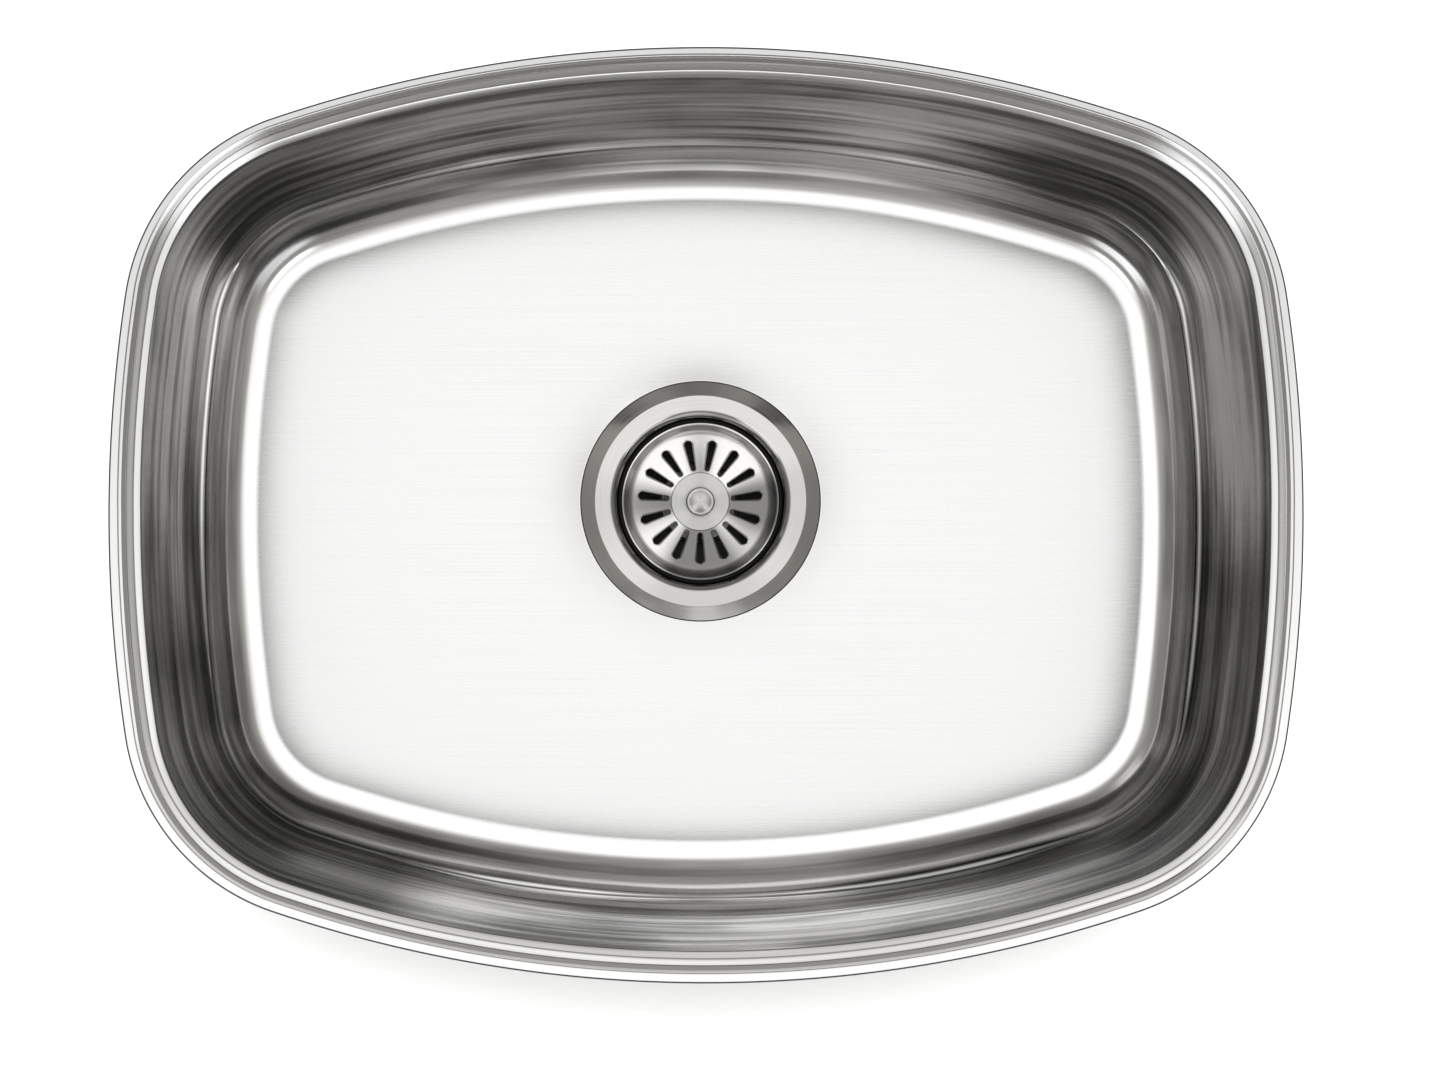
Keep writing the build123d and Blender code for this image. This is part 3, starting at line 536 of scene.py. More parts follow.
def bowlProfile():
    # Sections of the upper and the lower face as inset and height, from the rim's edge over the bottom
    # fillet to the flat. The wall's draft makes it touch both its top point and the fillet. Past the
    # fillet the bottom rises by swell * (1 - (1 - t)^2). The lower face is set off by the sheet.
    b = bowl
    across = b["bottomInset"] - b["wallTopInset"]
    down = b["bottomFillet"] - b["depth"] + b["wallTopDrop"]
    draft = atan2(across, -down) - asin(b["bottomFillet"] / hypot(across, down))
    lineZ = b["lineAbove"] - b["depth"]
    wallX = b["wallTopInset"] - b["wallTopDrop"] * tan(draft)
    sheet, wallEnd = b["sheet"], (wallX + b["wallHandover"] * tan(draft), -b["wallHandover"])
    fine = {"longest": 2, "arcTurn": radians(6)}
    rim = roundedPath([(0, -sheet / 2), (0, 0, b["edgeRound"]), (b["cutWidth"], 0),
                       *meetWall(b["bends"], wallX, draft), wallEnd], **fine)
    # lower corners: each moves by sheet * (n1 + n2) / (1 + n1 . n2) from the normals of its two runs
    plain = np.array([(0, 0, 0), *meetWall(b["lowerBends"], wallX, draft), (*wallEnd, 0)], float)
    runs = np.diff(plain[:, :2], axis=0)
    runs /= np.hypot(*runs.T)[:, None]
    normals = np.stack([runs[:, 1], -runs[:, 0]], axis=1)
    first, second = normals[:-1], normals[1:]
    moved = plain[1:-1, :2] + sheet * (first + second) / (1 + (first * second).sum(axis=1))[:, None]
    rimBelow = roundedPath([(0, -sheet / 2), (0, -sheet, b["edgeRound"]),
                            *np.hstack([moved, plain[1:-1, 2:]]).tolist(),
                            plain[-1, :2] + sheet * normals[-1]], **fine)
    wallFirst, aboveLine, wallCount = b["wallRows"]
    heights = np.concatenate([np.linspace(wallFirst, lineZ + aboveLine, wallCount),
                              *(lineZ + np.linspace(*rows) for rows in b["lineRows"])])
    wall = np.stack([wallX - heights * tan(draft), heights], axis=1)
    turn = np.radians(np.linspace(*b["filletRows"]))
    fillet = np.stack([b["bottomInset"] - b["bottomFillet"] * np.sin(turn),
                       b["bottomFillet"] * (1 - np.cos(turn)) - b["depth"]], axis=1)
    fillet = fillet[fillet[:, 1] < heights[-1] - b["rowGap"]]
    share = np.linspace(0, 1, b["swellRows"])
    swell = fillet[-1] + np.stack([b["swellReach"] * share, b["swell"] * (1 - (1 - share)**2)], axis=1)
    inside = np.vstack([wall, fillet[:-1], swell])
    outside = inside + pathNormals(inside) * sheet
    outside[-len(swell):, 1] = -b["depth"] - sheet
    outside[:, 1] = np.maximum(outside[:, 1], -b["depth"] - sheet)
    return np.vstack([rim, inside]), np.vstack([rimBelow, outside])


def wayRound(centres, direction, radii):
    # share of the way round the outline, clockwise from the middle of the left side
    outline = centres + direction * radii[:, None]
    runs = np.hypot(*(np.roll(outline, -1, axis=0) - outline).T)
    way = np.concatenate([[0], np.cumsum(runs)[:-1]]) / runs.sum()
    start = way[np.argmin(outline[:, 0])]
    return (start - way) % 1


def bandShift(profile, direction, around, reach, step):
    # Shift of each point's inset. The draw line turns over as tanh(height / softness) and dies out
    # above, over the given reach, and below. The rim stands further out by the step times the root of
    # how far it faces the back.
    b = bowl
    above = profile[:, 1] - (b["lineAbove"] - b["depth"])
    fade = np.clip(1 - np.where(above > 0, above / reach, -above / (b["lineAbove"] - 1)), 0, 1)
    along = -np.tanh(above / b["lineSoftness"]) * fade**1.5 * (profile[:, 0] > b["wallTopInset"])
    strength = np.interp(around, *np.transpose(b["lineRound"]))
    towardsBack = np.sqrt(np.clip(direction[:, 1], 0, 1))
    return (b["lineShift"] * strength[:, None] * along[None]
            - b["backStep"] * towardsBack[:, None] * step[None])


def dishProfile():
    # Section of the dish as radius and height, from the flat bottom in to the drain hole.
    b = bowl
    seat, flat = -b["depth"] - b["dishDrop"], bowlProfile()[0][-1, 1]
    slopeTop = b["seatRadius"] + (flat - seat) / tan(radians(b["dishSlope"]))
    edge = slopeTop + b["dishBlend"] * tan(radians(b["dishSlope"] / 2)) + b["dishMargin"]
    return roundedPath([(edge, flat), (slopeTop, flat, b["dishBlend"]),
                        (b["seatRadius"], seat, b["seatBlend"]), (b["holeRadius"], seat)],
                       longest=6, arcTurn=radians(1.5))


def bowlPoints(outline, around, profile, below):
    # Upper face from the rim's edge in to the drain hole, then the lower face back out. Between the
    # fillet and the dish the rows run straight from one to the other.
    b = bowl
    centres, direction, radii = outline

    def carried(section, reach, step):
        inset = section[None, :, :1] + bandShift(section, direction, around, reach, step)[..., None]
        return withHeights(centres[:, None] + direction[:, None] * (radii[:, None, None] - inset), section)

    # the back's step fades down the wall on the upper face, and ends short of the clips on the lower
    stepAbove = (np.interp(profile[:, 0], b["stepInsets"], (0, 1))
                 * np.interp(profile[:, 1], b["stepHeights"], (0, 1)))
    stepBelow = np.interp(below[:, 0], b["stepInsetsBelow"], (0, 1, 1, 0))
    upper = carried(profile, b["lineReach"], stepAbove)
    lower = carried(below, b["lineReachBelow"], stepBelow)
    toDrain = upper[:, -1, :2] - drainPlace
    spokes = (toDrain / np.linalg.norm(toDrain, axis=1)[:, None])[:, None]
    dish = dishProfile()
    dishBelow = np.stack([dish[:, 0], np.minimum(dish[:, 1], -b["depth"]) - b["sheet"]], axis=1)
    dishUpper = withHeights(drainPlace + spokes * dish[None, :, :1], dish)
    dishLower = withHeights(drainPlace + spokes * dishBelow[None, :, :1], dishBelow)
    share = np.linspace(0, 1, b["bottomRings"] + 2)[1:-1][None, :, None]
    flatUpper = upper[:, -1:] * (1 - share) + dishUpper[:, :1] * share
    flatLower = lower[:, -1:] * (1 - share) + dishLower[:, :1] * share
    return np.concatenate([upper, flatUpper, dishUpper,
                           dishLower[:, ::-1], flatLower[:, ::-1], lower[:, ::-1]], axis=1)


def paintedRoundLevels(direction, around, drop):
    # Painted reflection tone by place round the bowl, evener low down. Half way down it is painted lighter
    # at the ends of the bowl and darker along its sides, by swing * (x^2 - y^2) of the direction times
    # exp(-(height / reach)^2).
    b = bowl
    evenness = np.interp(drop, b["polishDrops"], b["polishEven"])
    halfWay = np.exp(-((drop - b["polishMiddle"]) / b["polishHeight"])**2)
    facing = (direction[:, 0]**2 - direction[:, 1]**2)[:, None]
    return (np.interp(around, *np.transpose(b["polishRound"]))[:, None]**evenness
            * (1 + b["polishSwing"] * facing * halfWay))


def bottomShare(section):
    return np.clip((section[:, 0] - bowl["bottomInset"] + bowl["brushStart"]) / bowl["brushStart"], 0, 1)


def bowlShell():
    # the whole bowl as one closed sheet, with the brush direction and the painted reflection tone of each
    # point
    outline = outlineSamples()
    direction = outline[1]
    around = wayRound(*outline)
    profile, below = bowlProfile()
    points = bowlPoints(outline, around, profile, below)
    middle = np.ones(points.shape[1] - len(profile) - len(below))
    onBottom = np.concatenate([bottomShare(profile), middle, bottomShare(below)[::-1]])
    # brush direction: along X on the bottom, round the bowl elsewhere
    roundWay = np.stack([-direction[:, 1], direction[:, 0], np.zeros(len(direction))], axis=1)[:, None]
    alongX = (np.where(direction[:, 1:2] > 0, -1.0, 1.0) * np.array([[1.0, 0, 0]]))[:, None]
    grain = roundWay * (1 - onBottom[:, None]) + alongX * onBottom[:, None]
    piece = gridPiece("bowlShell", points * mm, grain, closeAlong=True, bottomShare=onBottom,
                      polishRound=paintedRoundLevels(direction, around, -points[..., 2]))
    # faces of the cut edge, half way round its section on each side, take the second finish, painted near
    # black as a shaded outline
    cutAbove = int((profile[:, 0] < bowl["cutWidth"] - 0.01).sum())
    cutBelow = int((below[:bowl["edgeRows"], 0] < bowl["edgeRound"] / 2).sum())
    along = np.arange(points.shape[1])
    cut = np.tile((along < cutAbove) | (along >= points.shape[1] - cutBelow), len(points))
    piece.data.polygons.foreach_set("material_index", cut.astype(np.int32))
    return piece


shell = tidyMesh(bowlShell(), sharpAngle=50)
finishPiece(shell, steelOfBowl, "sink", "sink_bowl")
shell.data.materials.append(cutSteel)
print("bowl made:", len(shell.data.polygons), "faces")


# Turned pieces, in millimetres.
def turnedPiece(name, corners, sides=144, longest=4):
    # Closed section of (radius, height, corner radius), carried round the drain's axis.
    section = roundedPath(corners, longest, radians(12), closed=True)
    angle = np.linspace(0, 2 * pi, sides, endpoint=False)
    spoke = np.stack([np.cos(angle), np.sin(angle)], axis=1)
    points = withHeights(drainPlace + spoke[:, None] * section[None, :, :1], section) * mm
    # highlights spread along the section, across the turning lines
    grain = np.roll(points, -1, axis=1) - np.roll(points, 1, axis=1)
    grain /= np.maximum(np.linalg.norm(grain, axis=2, keepdims=True), 1e-9)
    piece = tidyMesh(gridPiece(name, points, grain, closeAlong=True))
    # flats keep their own normals and only the small rounds between them blend
    flats = piece.modifiers.new("flatNormals", "WEIGHTED_NORMAL")
    flats.weight = 90
    flats.keep_sharp = True
    return piece


def levels(node):
    # lowest and highest z and the radius of a turned CAD node, in millimetres
    low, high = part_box(node)
    return low.z / mm, high.z / mm, (high.x - low.x) / 2 / mm


drain = {"flatRadius": 50, "flatRound": 1.2, "sheet": 1.5, "bevelDrop": 2.7, "edgeLow": 3.05,
         "edgeRound": 0.45, "edgeWidth": 0.6, "mouthRadius": 39.6, "mouthRoll": 4.3, "sealGap": 0.3,
         "dullBelowSeal": 0.5, "sealShelf": 1.4, "shelfRound": 0.4, "cupWall": 2, "cupDepth": 52,
         "cupCorner": 5, "floorFall": 4, "floorWall": 2, "neckBore": 18.2, "neckWall": 5.2,
         "neckCorner": 2.0, "socketRecess": 1.4, "socketRound": 1.0, "recessDepth": 6,
         "cupPitch": 2.1, "cupThread": 30, "neckPitch": 2.2, "neckThread": 16,
         # threads: depth, radii of crest and root, and shares of the pitch where they turn
         "threadDepth": 0.7, "crestRound": 0.15, "rootRound": 0.3, "crestEnd": 0.2, "root": 0.5,
         "crestStart": 0.8}


def threadCorners(crest, start, length, pitch):
    # rolled thread as parallel rounded ridges: crest, flank down to the root, flank up, once per pitch
    d = drain
    step = pitch if length > 0 else -pitch
    corners = []
    for turn in range(int(abs(length) / pitch)):
        base = start + turn * step
        corners += [(crest, base), (crest, base + step * d["crestEnd"], d["crestRound"]),
                    (crest - d["threadDepth"], base + step * d["root"], d["rootRound"]),
                    (crest, base + step * d["crestStart"], d["crestRound"])]
    return corners


def drainFlange():
    d = drain
    bottom, top, reach = levels("drain_body")
    shelf = levels("basket_seal")[0] - d["sealGap"]
    cupBore, cupOuter = d["mouthRadius"] - d["sealShelf"], d["mouthRadius"] + d["cupWall"]
    cupFloor = top - d["cupDepth"]
    neckTop, neckOuter = cupFloor - d["floorFall"], d["neckBore"] + d["neckWall"]
    recess = neckTop - d["recessDepth"]
    underside = top - d["sheet"]
    bevelShare = 1 - d["edgeWidth"] / (reach - d["flatRadius"])
    cupThreads = threadCorners(cupOuter, underside - d["sheet"], -d["cupThread"], d["cupPitch"])
    return turnedPiece("drainFlange", [
        (reach, top - d["bevelDrop"], d["edgeRound"]),
        (reach - d["edgeWidth"], top - d["bevelDrop"] * bevelShare),
        (d["flatRadius"], top, d["flatRound"]),
        (d["mouthRadius"], top, d["mouthRoll"]),
        (d["mouthRadius"], shelf, d["shelfRound"]),
        (cupBore, shelf, d["shelfRound"]),
        (cupBore, cupFloor, d["cupCorner"]),
        (d["neckBore"] + d["socketRecess"], neckTop, d["socketRound"]),
        (d["neckBore"] + d["socketRecess"], recess),
        (d["neckBore"], recess),
        (d["neckBore"], bottom),
        *threadCorners(neckOuter, bottom, d["neckThread"], d["neckPitch"]),
        (neckOuter, bottom + d["neckThread"]),
        (neckOuter, neckTop - d["floorWall"], d["neckCorner"]),
        (cupOuter, cupFloor - d["floorWall"], d["cupCorner"] + d["floorWall"]),
        *cupThreads[::-1],
        (cupOuter, underside),
        (d["flatRadius"], underside),
        (reach, top - d["edgeLow"]),
    ], sides=160)


flange = finishPiece(drainFlange(), steelOfDrain, "sink", "drain_body")
# the cup inside, below the seal's shelf, is painted near black as shade, and the flange's edge is painted
# dark as a shaded outline
flange.data.materials.append(dullSteel)
flange.data.materials.append(cutSteel)
faceCentres = np.array([face.center for face in flange.data.polygons]) / mm
reach = np.hypot(*(faceCentres[:, :2] - drainPlace).T)
belowSeal = faceCentres[:, 2] < levels("basket_seal")[0] - drain["dullBelowSeal"]
inCup = (reach < drain["mouthRadius"]) & belowSeal
onEdge = reach > levels("drain_body")[2] - drain["edgeWidth"]
flange.data.polygons.foreach_set("material_index", (inCup + 2 * onEdge).astype(np.int32))


def flatRing(name, node, innerRadius, edge):
    low, high, radius = levels(node)
    return turnedPiece(name, [(innerRadius, low, edge), (radius, low, edge), (radius, high, edge),
                              (innerRadius, high, edge)], sides=120)


outlet = {"radius": 19.05, "wall": 1.0, "root": 0.6, "rootBelowNut": 0.8, "collarThickness": 1.5,
          "edgeRound": 0.3}
# rings that the cup goes through stand off it by their gap
rings = {"cupGap": 0.3, "puttyBore": 45.0}
boreOfCup = drain["mouthRadius"] + drain["cupWall"] + rings["cupGap"]
# name, node, bore, edge round, finish and slot of each ring
for name, node, bore, edge, finish, slot in [
        ("puttyRing", "flange_seal", rings["puttyBore"], 0.2, putty, "putty"),
        ("gasketRing", "rubber_gasket", boreOfCup, 0.5, blackRubber, "black_rubber"),
        ("slipRing", "friction_ring", boreOfCup, 0.2, fibre, "fibre"),
        ("outletWasher", "tailpiece_washer", outlet["radius"], 0.2, nylon, "nylon")]:
    finishPiece(flatRing(name, node, bore, edge), finish, "sink", node)


def outletPipe():
    low, high, collar = levels("tailpiece")
    edge = outlet["edgeRound"]
    bore, outer = outlet["radius"] - outlet["wall"], outlet["radius"]
    root, rootLow = outer + outlet["root"], levels("slip_nut")[0] - outlet["rootBelowNut"]
    collarLow = high - outlet["collarThickness"]
    return turnedPiece("outletPipe", [
        (bore, high), (collar, high, edge), (collar, collarLow, edge), (root, collarLow),
        (root, rootLow + outlet["root"], edge), (outer, rootLow, edge), (outer, low, edge),
        (bore, low, edge)], sides=120)


finishPiece(outletPipe(), steelOfDrain, "sink", "tailpiece")

basket = {"sheet": 0.8, "bore": 36.0, "lip": 0.5, "lipBend": 1.0, "depth": 10, "corner": 5,
          "plateRadius": 30.6, "plateFlat": 14.3, "plateRise": 1.6, "plateBend": 2.0, "footBend": 0.3,
          "stemHole": 3.05, "slots": 15, "slotIn": 14.9, "slotOut": 29.6, "slotInWidth": 2.1,
          "slotOutWidth": 3.7, "slotInRings": 6, "slotOutRings": 7, "landSteps": 6}


def slotHalfWidth(radius):
    # half width of a slot at a distance from the axis: a straight taper between two round ends
    inHalf, outHalf = basket["slotInWidth"] / 2, basket["slotOutWidth"] / 2
    inMid, outMid = basket["slotIn"] + inHalf, basket["slotOut"] - outHalf
    taper = np.interp(radius, [inMid, outMid], [inHalf, outHalf])
    inEnd = np.sqrt(np.clip(inHalf**2 - (radius - inMid)**2, 0, None))
    outEnd = np.sqrt(np.clip(outHalf**2 - (radius - outMid)**2, 0, None))
    half = np.where(radius < inMid, inEnd, np.where(radius > outMid, outEnd, taper))
    return np.where((radius < basket["slotIn"]) | (radius > basket["slotOut"]), 0, half)


def strainerBasket():
    # Inside face from the stem hole out and up to the lip; between two slots the grid runs from edge to
    # edge of the land, at angle slot + asin(half width / radius), and the sheet's thickness is added below.
    b = basket
    lipTop = levels("strainer_basket")[1]
    floor = lipTop - b["depth"]
    path = roundedPath([
        (b["stemHole"], floor + b["plateRise"]), (b["plateFlat"], floor + b["plateRise"], b["plateBend"]),
        (b["plateRadius"], floor, b["footBend"]), (b["bore"], floor, b["corner"]),
        (b["bore"], lipTop, b["lipBend"]), (b["bore"] + b["sheet"] + b["lip"], lipTop)],
        longest=3, arcTurn=radians(9))
    # extra rings where the slots' round ends turn fast
    ends = [b["slotIn"] + b["slotInWidth"] / 2 * (1 - np.cos(np.linspace(0, pi / 2, b["slotInRings"]))),
            b["slotOut"] - b["slotOutWidth"] / 2 * (1 - np.cos(np.linspace(0, pi / 2, b["slotOutRings"])))]
    flat = path[:, 0] <= b["plateRadius"] + 1e-6
    reach = np.unique(np.round(np.concatenate([path[flat, 0], *ends]), 5))
    heights = np.interp(reach, path[flat, 0], path[flat, 1])
    path = np.vstack([np.stack([reach, heights], axis=1), path[~flat]])
    half = np.arcsin(slotHalfWidth(path[:, 0]) / path[:, 0])
    pitch = 2 * pi / b["slots"]
    steps = np.linspace(0, 1, b["landSteps"] + 1)
    starts = -pi / 2 + pitch * np.arange(b["slots"])
    angle = starts[:, None, None] + half[None, None] + steps[None, :, None] * (pitch - 2 * half[None, None])
    angle = angle.reshape(-1, len(path))
    spokes = np.stack([np.cos(angle), np.sin(angle)], axis=2)
    points = withHeights(drainPlace + spokes * path[None, :, :1], path) * mm
    heading = pathHeading(path)
    grain = withHeights(spokes * heading[None, :, :1], heading)
    keep = np.ones((len(angle), len(path)), bool)
    keep[b["landSteps"]::b["landSteps"] + 1] = False
    piece = tidyMesh(gridPiece("strainerPlate", points, grain, keep=keep), 40, weld=5e-7, outward=False)
    if piece.data.polygons[0].normal.z < 0:
        piece.data.flip_normals()
    thick = piece.modifiers.new("sheet", "SOLIDIFY")
    thick.thickness = b["sheet"] * mm
    thick.offset = -1
    thick.use_even_offset = True
    return piece


finishPiece(strainerBasket(), steelOfBasket, "basket", "strainer_basket")

sealRounds = {"low": 0.6, "high": 0.9, "inner": 0.5}


def sealRing():
    low, high, radius = levels("basket_seal")
    inner = basket["bore"] + basket["sheet"]
    return turnedPiece("rubberSeal", [(inner, low), (radius, low, sealRounds["low"]),
                                      (radius, high, sealRounds["high"]),
                                      (inner, high, sealRounds["inner"])])


finishPiece(sealRing(), blackRubber, "basket", "basket_seal")

knobShape = {"radius": 6.75, "domeRadius": 5.5, "domeHeight": 1.0, "neckRadius": 4.2, "neckHeight": 4.0,
             "rimHeight": 2.6, "stemRadius": 3.0, "stemDepth": 5, "stemGap": 0.05, "discRound": 0.45,
             "edgeRound": 0.1, "footRound": 0.2, "neckRound": 1.0, "headRound": 0.6, "topRound": 0.8,
             "capRings": 9}


def knobDisc():
    k = knobShape
    low, high, radius = levels("knob_disc")
    inner = k["stemRadius"] + k["stemGap"]
    return turnedPiece("knobPlate", [(inner, low), (radius, low, k["edgeRound"]),
                                     (radius, high, k["discRound"]), (inner, high, k["edgeRound"])],
                       sides=120)


def pullKnob():
    # head with a low dome whose cap follows a sphere through its rim and top
    k = knobShape
    low = levels("knob")[0]
    headLow, headTop = low + k["neckHeight"], low + k["neckHeight"] + k["rimHeight"]
    ball = (k["domeRadius"]**2 + k["domeHeight"]**2) / (2 * k["domeHeight"])
    reach = np.linspace(k["domeRadius"], 0, k["capRings"])
    cap = [(r, headTop + k["domeHeight"] - ball + sqrt(ball**2 - r**2)) for r in reach]
    stemTop = low + k["stemDepth"]
    return turnedPiece("pullKnob", [
        (0, stemTop), (k["stemRadius"], stemTop), (k["stemRadius"], low),
        (k["neckRadius"], low, k["footRound"]), (k["neckRadius"], headLow, k["neckRound"]),
        (k["radius"], headLow, k["headRound"]), (k["radius"], headTop, k["topRound"]), *cap],
        sides=96, longest=2)


finishPiece(knobDisc(), steelOfKnob, "basket", "knob_disc")
finishPiece(pullKnob(), steelOfKnob, "basket_post", "knob")
print("drain and basket made")


# Pieces under the bowl. Faces that turn less than the flat angle are joined, and edges that turn more
# than the edge angle are eased.
easing = {"weld": 1e-6, "flatAngle": 0.4, "edgeAngle": 40, "segments": 2}


def dressedCopy(node, name, bevel):
    # CAD shape kept, its loose triangles merged, flat faces joined and edges eased by so many millimetres
    piece = newObject(name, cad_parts[node].data.copy())
    piece.data.materials.clear()
    work = bmesh.new()
    work.from_mesh(piece.data)
    bmesh.ops.remove_doubles(work, verts=work.verts, dist=easing["weld"])
    bmesh.ops.dissolve_limit(work, angle_limit=radians(easing["flatAngle"]), verts=work.verts,
                             edges=work.edges)
    work.to_mesh(piece.data)
    work.free()
    piece.data.shade_smooth()
    piece.data.set_sharp_from_angle(angle=radians(crispAngle))
    eased = piece.modifiers.new("easedEdges", "BEVEL")
    eased.width = bevel * mm
    eased.segments = easing["segments"]
    eased.limit_method = "ANGLE"
    eased.angle_limit = radians(easing["edgeAngle"])
    return piece


def spokenName(node):
    # stem_nut becomes stemNut
    first, *rest = node.split("_")
    return first + "".join(word.capitalize() for word in rest)


# node, eased edge, finish and slot of each piece that stays with the bowl
for node, edge, finish, slot in [("lock_nut", 0.6, zincCast, "zinc_nut"),
                                 ("slip_nut", 0.5, zincCast, "zinc_nut"),
                                 # the post socket takes the near black painted shade steel, as the cup
                                 # around it does
                                 ("post_socket", 0.25, dullSteel, "drain_steel"),
                                 ("clip_brackets", 0.25, zincPlate, "zinc_plate"),
                                 ("pivot_bolts", 0.25, zincPlate, "zinc_plate"),
                                 ("wing_nuts", 0.25, zincPlate, "zinc_plate")]:
    finishPiece(dressedCopy(node, spokenName(node), edge), finish, "sink", node)
for node in ("basket_stem", "stem_washer", "stem_nut", "spring_clip"):
    finishPiece(dressedCopy(node, spokenName(node), 0.12), steelOfBasket, "basket_post",
                node)
for node in [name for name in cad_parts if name.startswith("clip_arm_")]:
    side = node[len("clip_arm_"):]
    finishPiece(dressedCopy(node, spokenName("swing_clip_" + side), 0.3), zincPlate, "arm_" + side,
                node)
for node in [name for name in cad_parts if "_pad_" in name]:
    finishPiece(dressedCopy(node, spokenName(node), 0.8), padRubber, "sink", node)
print("pieces under the bowl made")


# Studio.
studio = {"floorSize": 12.0, "floorBelow": 0.0005, "floorGlow": 0.16, "floorTone": 0.8,
          # the floor's glow sets in between these distances from the outlet, in metres
          "glowFrom": (0.03, 0.08),
          "sunPower": 2.6, "sunAngle": 11.0, "sunTilt": 6.4, "warmth": (1.0, 0.958, 0.89), "capLean": 7.5,
          "power": 1.3, "deepLevel": 0.36, "tallPower": 1.4, "stripPower": 1.8,
          # level by angle from overhead for light seen at the first reflection
          "overhead": [(0, 0.9), (24, 0.9), (29, 0.66), (34, 0.33), (42, 0.26), (50, 0.22), (60, 0.19),
                       (90, 0.17)],
          # added low light by angle from overhead, and its share by azimuth from +X
          "low": [(0, 0), (63, 0), (70, 1), (102, 1), (112, 0.3), (120, 0)],
          "lowRound": [(0, 0.9), (38, 0.6), (60, 0.6), (90, 0.55), (120, 0.6), (142, 0.7), (180, 0.9),
                       (225, 1.0), (248, 0.3), (270, 0.1), (292, 0.3), (315, 1.0), (360, 0.9)],
          # taller light towards three corners
          "tall": [(0, 0), (22, 0), (28, 1), (35, 1), (38, 0.1), (45, 0.1), (50, 0.8), (75, 1), (100, 1),
                   (112, 0)],
          "tallRound": [(0, 0), (122, 0), (130, 0.5), (142, 0.5), (150, 0), (205, 0), (214, 1), (240, 1),
                        (252, 0), (288, 0), (300, 1), (326, 1), (336, 0), (360, 0)],
          # thin strip towards the front, for the line along the back rim
          "strip": [(0, 0), (64, 0), (68, 1), (76, 1), (80, 0.16), (84, 0.16), (87, 0), (90, 0)],
          "stripRound": [(0, 0), (225, 0), (245, 1), (295, 1), (315, 0), (360, 0)],
          # level by angle from overhead for the second reflection, and its share by azimuth from +X
          "later": [(0, 0.8), (10, 1.0), (30, 1.0), (60, 0.8), (100, 0.8)],
          "laterRound": [(0, 0.22), (12, 0.08), (64, 0.06), (76, 0.7), (90, 1.0), (104, 0.7), (116, 0.05),
                         (166, 0.08), (190, 0.3), (206, 0.45), (222, 0.08), (246, 0.1), (256, 0.34),
                         (270, 0.26), (283, 0.33), (291, 0.08), (325, 0.05), (342, 0.6), (352, 0.5),
                         (360, 0.2)]}


def seenDirectly(tree):
    # 1 for camera, glossy and transmission rays
    path = addNode(tree, "ShaderNodeLightPath").outputs
    either = mathNode(tree, "MAXIMUM", path["Is Camera Ray"], path["Is Glossy Ray"])
    return mathNode(tree, "MAXIMUM", either, path["Is Transmission Ray"])


def makeFloor():
    size = studio["floorSize"] / 2
    corners = [(-size, -size), (size, -size), (size, size), (-size, size)]
    mesh = bpy.data.meshes.new("studioFloor")
    height = cadLow.z - studio["floorBelow"]
    mesh.from_pydata([(x, y, height) for x, y in corners], [], [(0, 1, 2, 3)])
    floor = newObject("studioFloor", mesh)
    material = bpy.data.materials.new("paleFloor")
    material.use_nodes = True
    tree = material.node_tree
    tree.nodes.remove(tree.nodes["Principled BSDF"])
    tone = studio["floorTone"]
    matt = addNode(tree, "ShaderNodeBsdfDiffuse", {"Color": (tone, tone, tone, 1)})
    # the glow leaves out the floor under the outlet, which the bowl shades all over
    fromDrain = addNode(tree, "ShaderNodeVectorMath", {0: objectPlace(tree), 1: (drainX, drainY, cadLow.z)},
                        operation="DISTANCE").outputs["Value"]
    glowLevel = ramp(tree, fromDrain, studio["glowFrom"], (0, studio["floorGlow"]), "SMOOTHSTEP")
    glow = multiply(tree, seenDirectly(tree), glowLevel)
    light = addNode(tree, "ShaderNodeEmission", {"Strength": glow})
    both = addNode(tree, "ShaderNodeAddShader", {0: matt.outputs[0], 1: light.outputs[0]})
    tree.links.new(both.outputs[0], tree.nodes["Material Output"].inputs["Surface"])
    mesh.materials.append(material)


def makeSun():
    data = bpy.data.lights.new("keyLight", "SUN")
    data.energy = studio["sunPower"]
    data.angle = radians(studio["sunAngle"])
    sun = newObject("keyLight", data)
    sun.rotation_euler = (radians(-studio["sunTilt"]), 0, 0)
    sun.visible_glossy = False


def stopsNode(tree, value, stops, span):
    # smooth curve through (place, level) stops, read at value / span
    made = tree.nodes.new("ShaderNodeValToRGB")
    tree.links.new(mathNode(tree, "DIVIDE", value, span), made.inputs[0])
    made.color_ramp.interpolation = "EASE"
    elements = made.color_ramp.elements
    while len(elements) < len(stops):
        elements.new(0.5)
    for element, (place, level) in zip(elements, stops):
        element.position = place / stops[-1][0]
        element.color = (level, level, level, 1)
    return made.outputs[0]


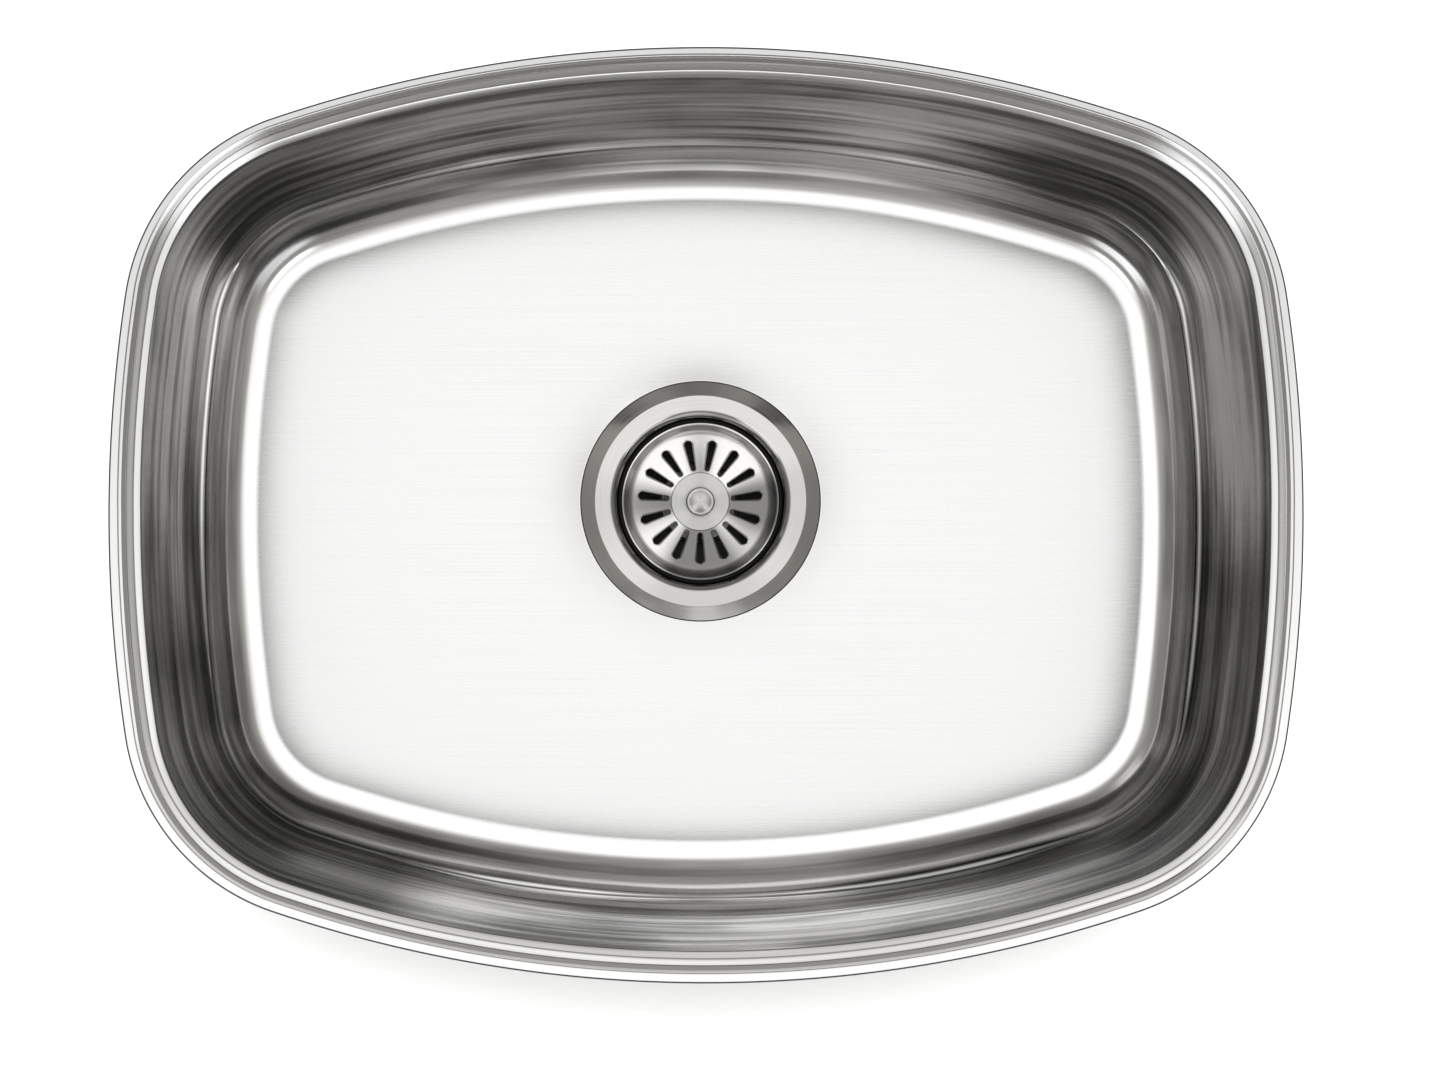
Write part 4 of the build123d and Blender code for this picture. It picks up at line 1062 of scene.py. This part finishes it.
def makeWorld():
    # A soft studio by direction: a broad white light overhead, dim warm surroundings, low side lights
    # and a thin strip. The second reflection sees dimmer light, and later ones one even level.
    world = bpy.data.worlds.new("studioLight")
    bpy.context.scene.world = world
    world.use_nodes = True
    world.cycles.sampling_method = "NONE"
    tree = world.node_tree
    way = addNode(tree, "ShaderNodeTexCoord").outputs["Generated"]
    parts = apart(tree, way)
    polar = mathNode(tree, "ARCCOSINE", parts["Z"])
    azimuth = mathNode(tree, "ARCTAN2", parts["Y"], parts["X"])
    azimuth = mathNode(tree, "MODULO", mathNode(tree, "ADD", azimuth, 2 * pi), 2 * pi)
    tilt = radians(studio["capLean"])
    lean = addNode(tree, "ShaderNodeVectorMath", {0: way, 1: (0, sin(tilt), cos(tilt))},
                   operation="DOT_PRODUCT")
    capAngle = mathNode(tree, "ARCCOSINE", lean.outputs["Value"])

    def byAngle(angle, stops):
        return stopsNode(tree, angle, stops, radians(stops[-1][0]))

    def sideLight(name):
        return multiply(tree, byAngle(polar, studio[name]), byAngle(azimuth, studio[name + "Round"]))

    direct = byAngle(capAngle, studio["overhead"])
    tall = multiply(tree, sideLight("tall"), studio["tallPower"])
    strip = multiply(tree, sideLight("strip"), studio["stripPower"])
    for other in (sideLight("low"), tall, strip):
        direct = mathNode(tree, "MAXIMUM", direct, other)
    path = addNode(tree, "ShaderNodeLightPath").outputs
    # the depth is 1 at the first reflection
    second = mathNode(tree, "GREATER_THAN", path["Glossy Depth"], 1.5)
    third = mathNode(tree, "GREATER_THAN", path["Glossy Depth"], 2.5)
    later = mix(tree, third, sideLight("later"), studio["deepLevel"])
    level = mix(tree, second, direct, later)
    white = (1, 1, 1)
    seen = mixColors(tree, path["Is Camera Ray"], mixColors(tree, level, studio["warmth"], white), white)
    strength = mathNode(tree, "MAXIMUM", path["Is Camera Ray"], multiply(tree, level, studio["power"]))
    fill(tree, tree.nodes["Background"], {"Color": seen, "Strength": strength})


makeFloor()
makeSun()
makeWorld()
bpy.context.scene.view_settings.view_transform = "Standard"
print("studio made")
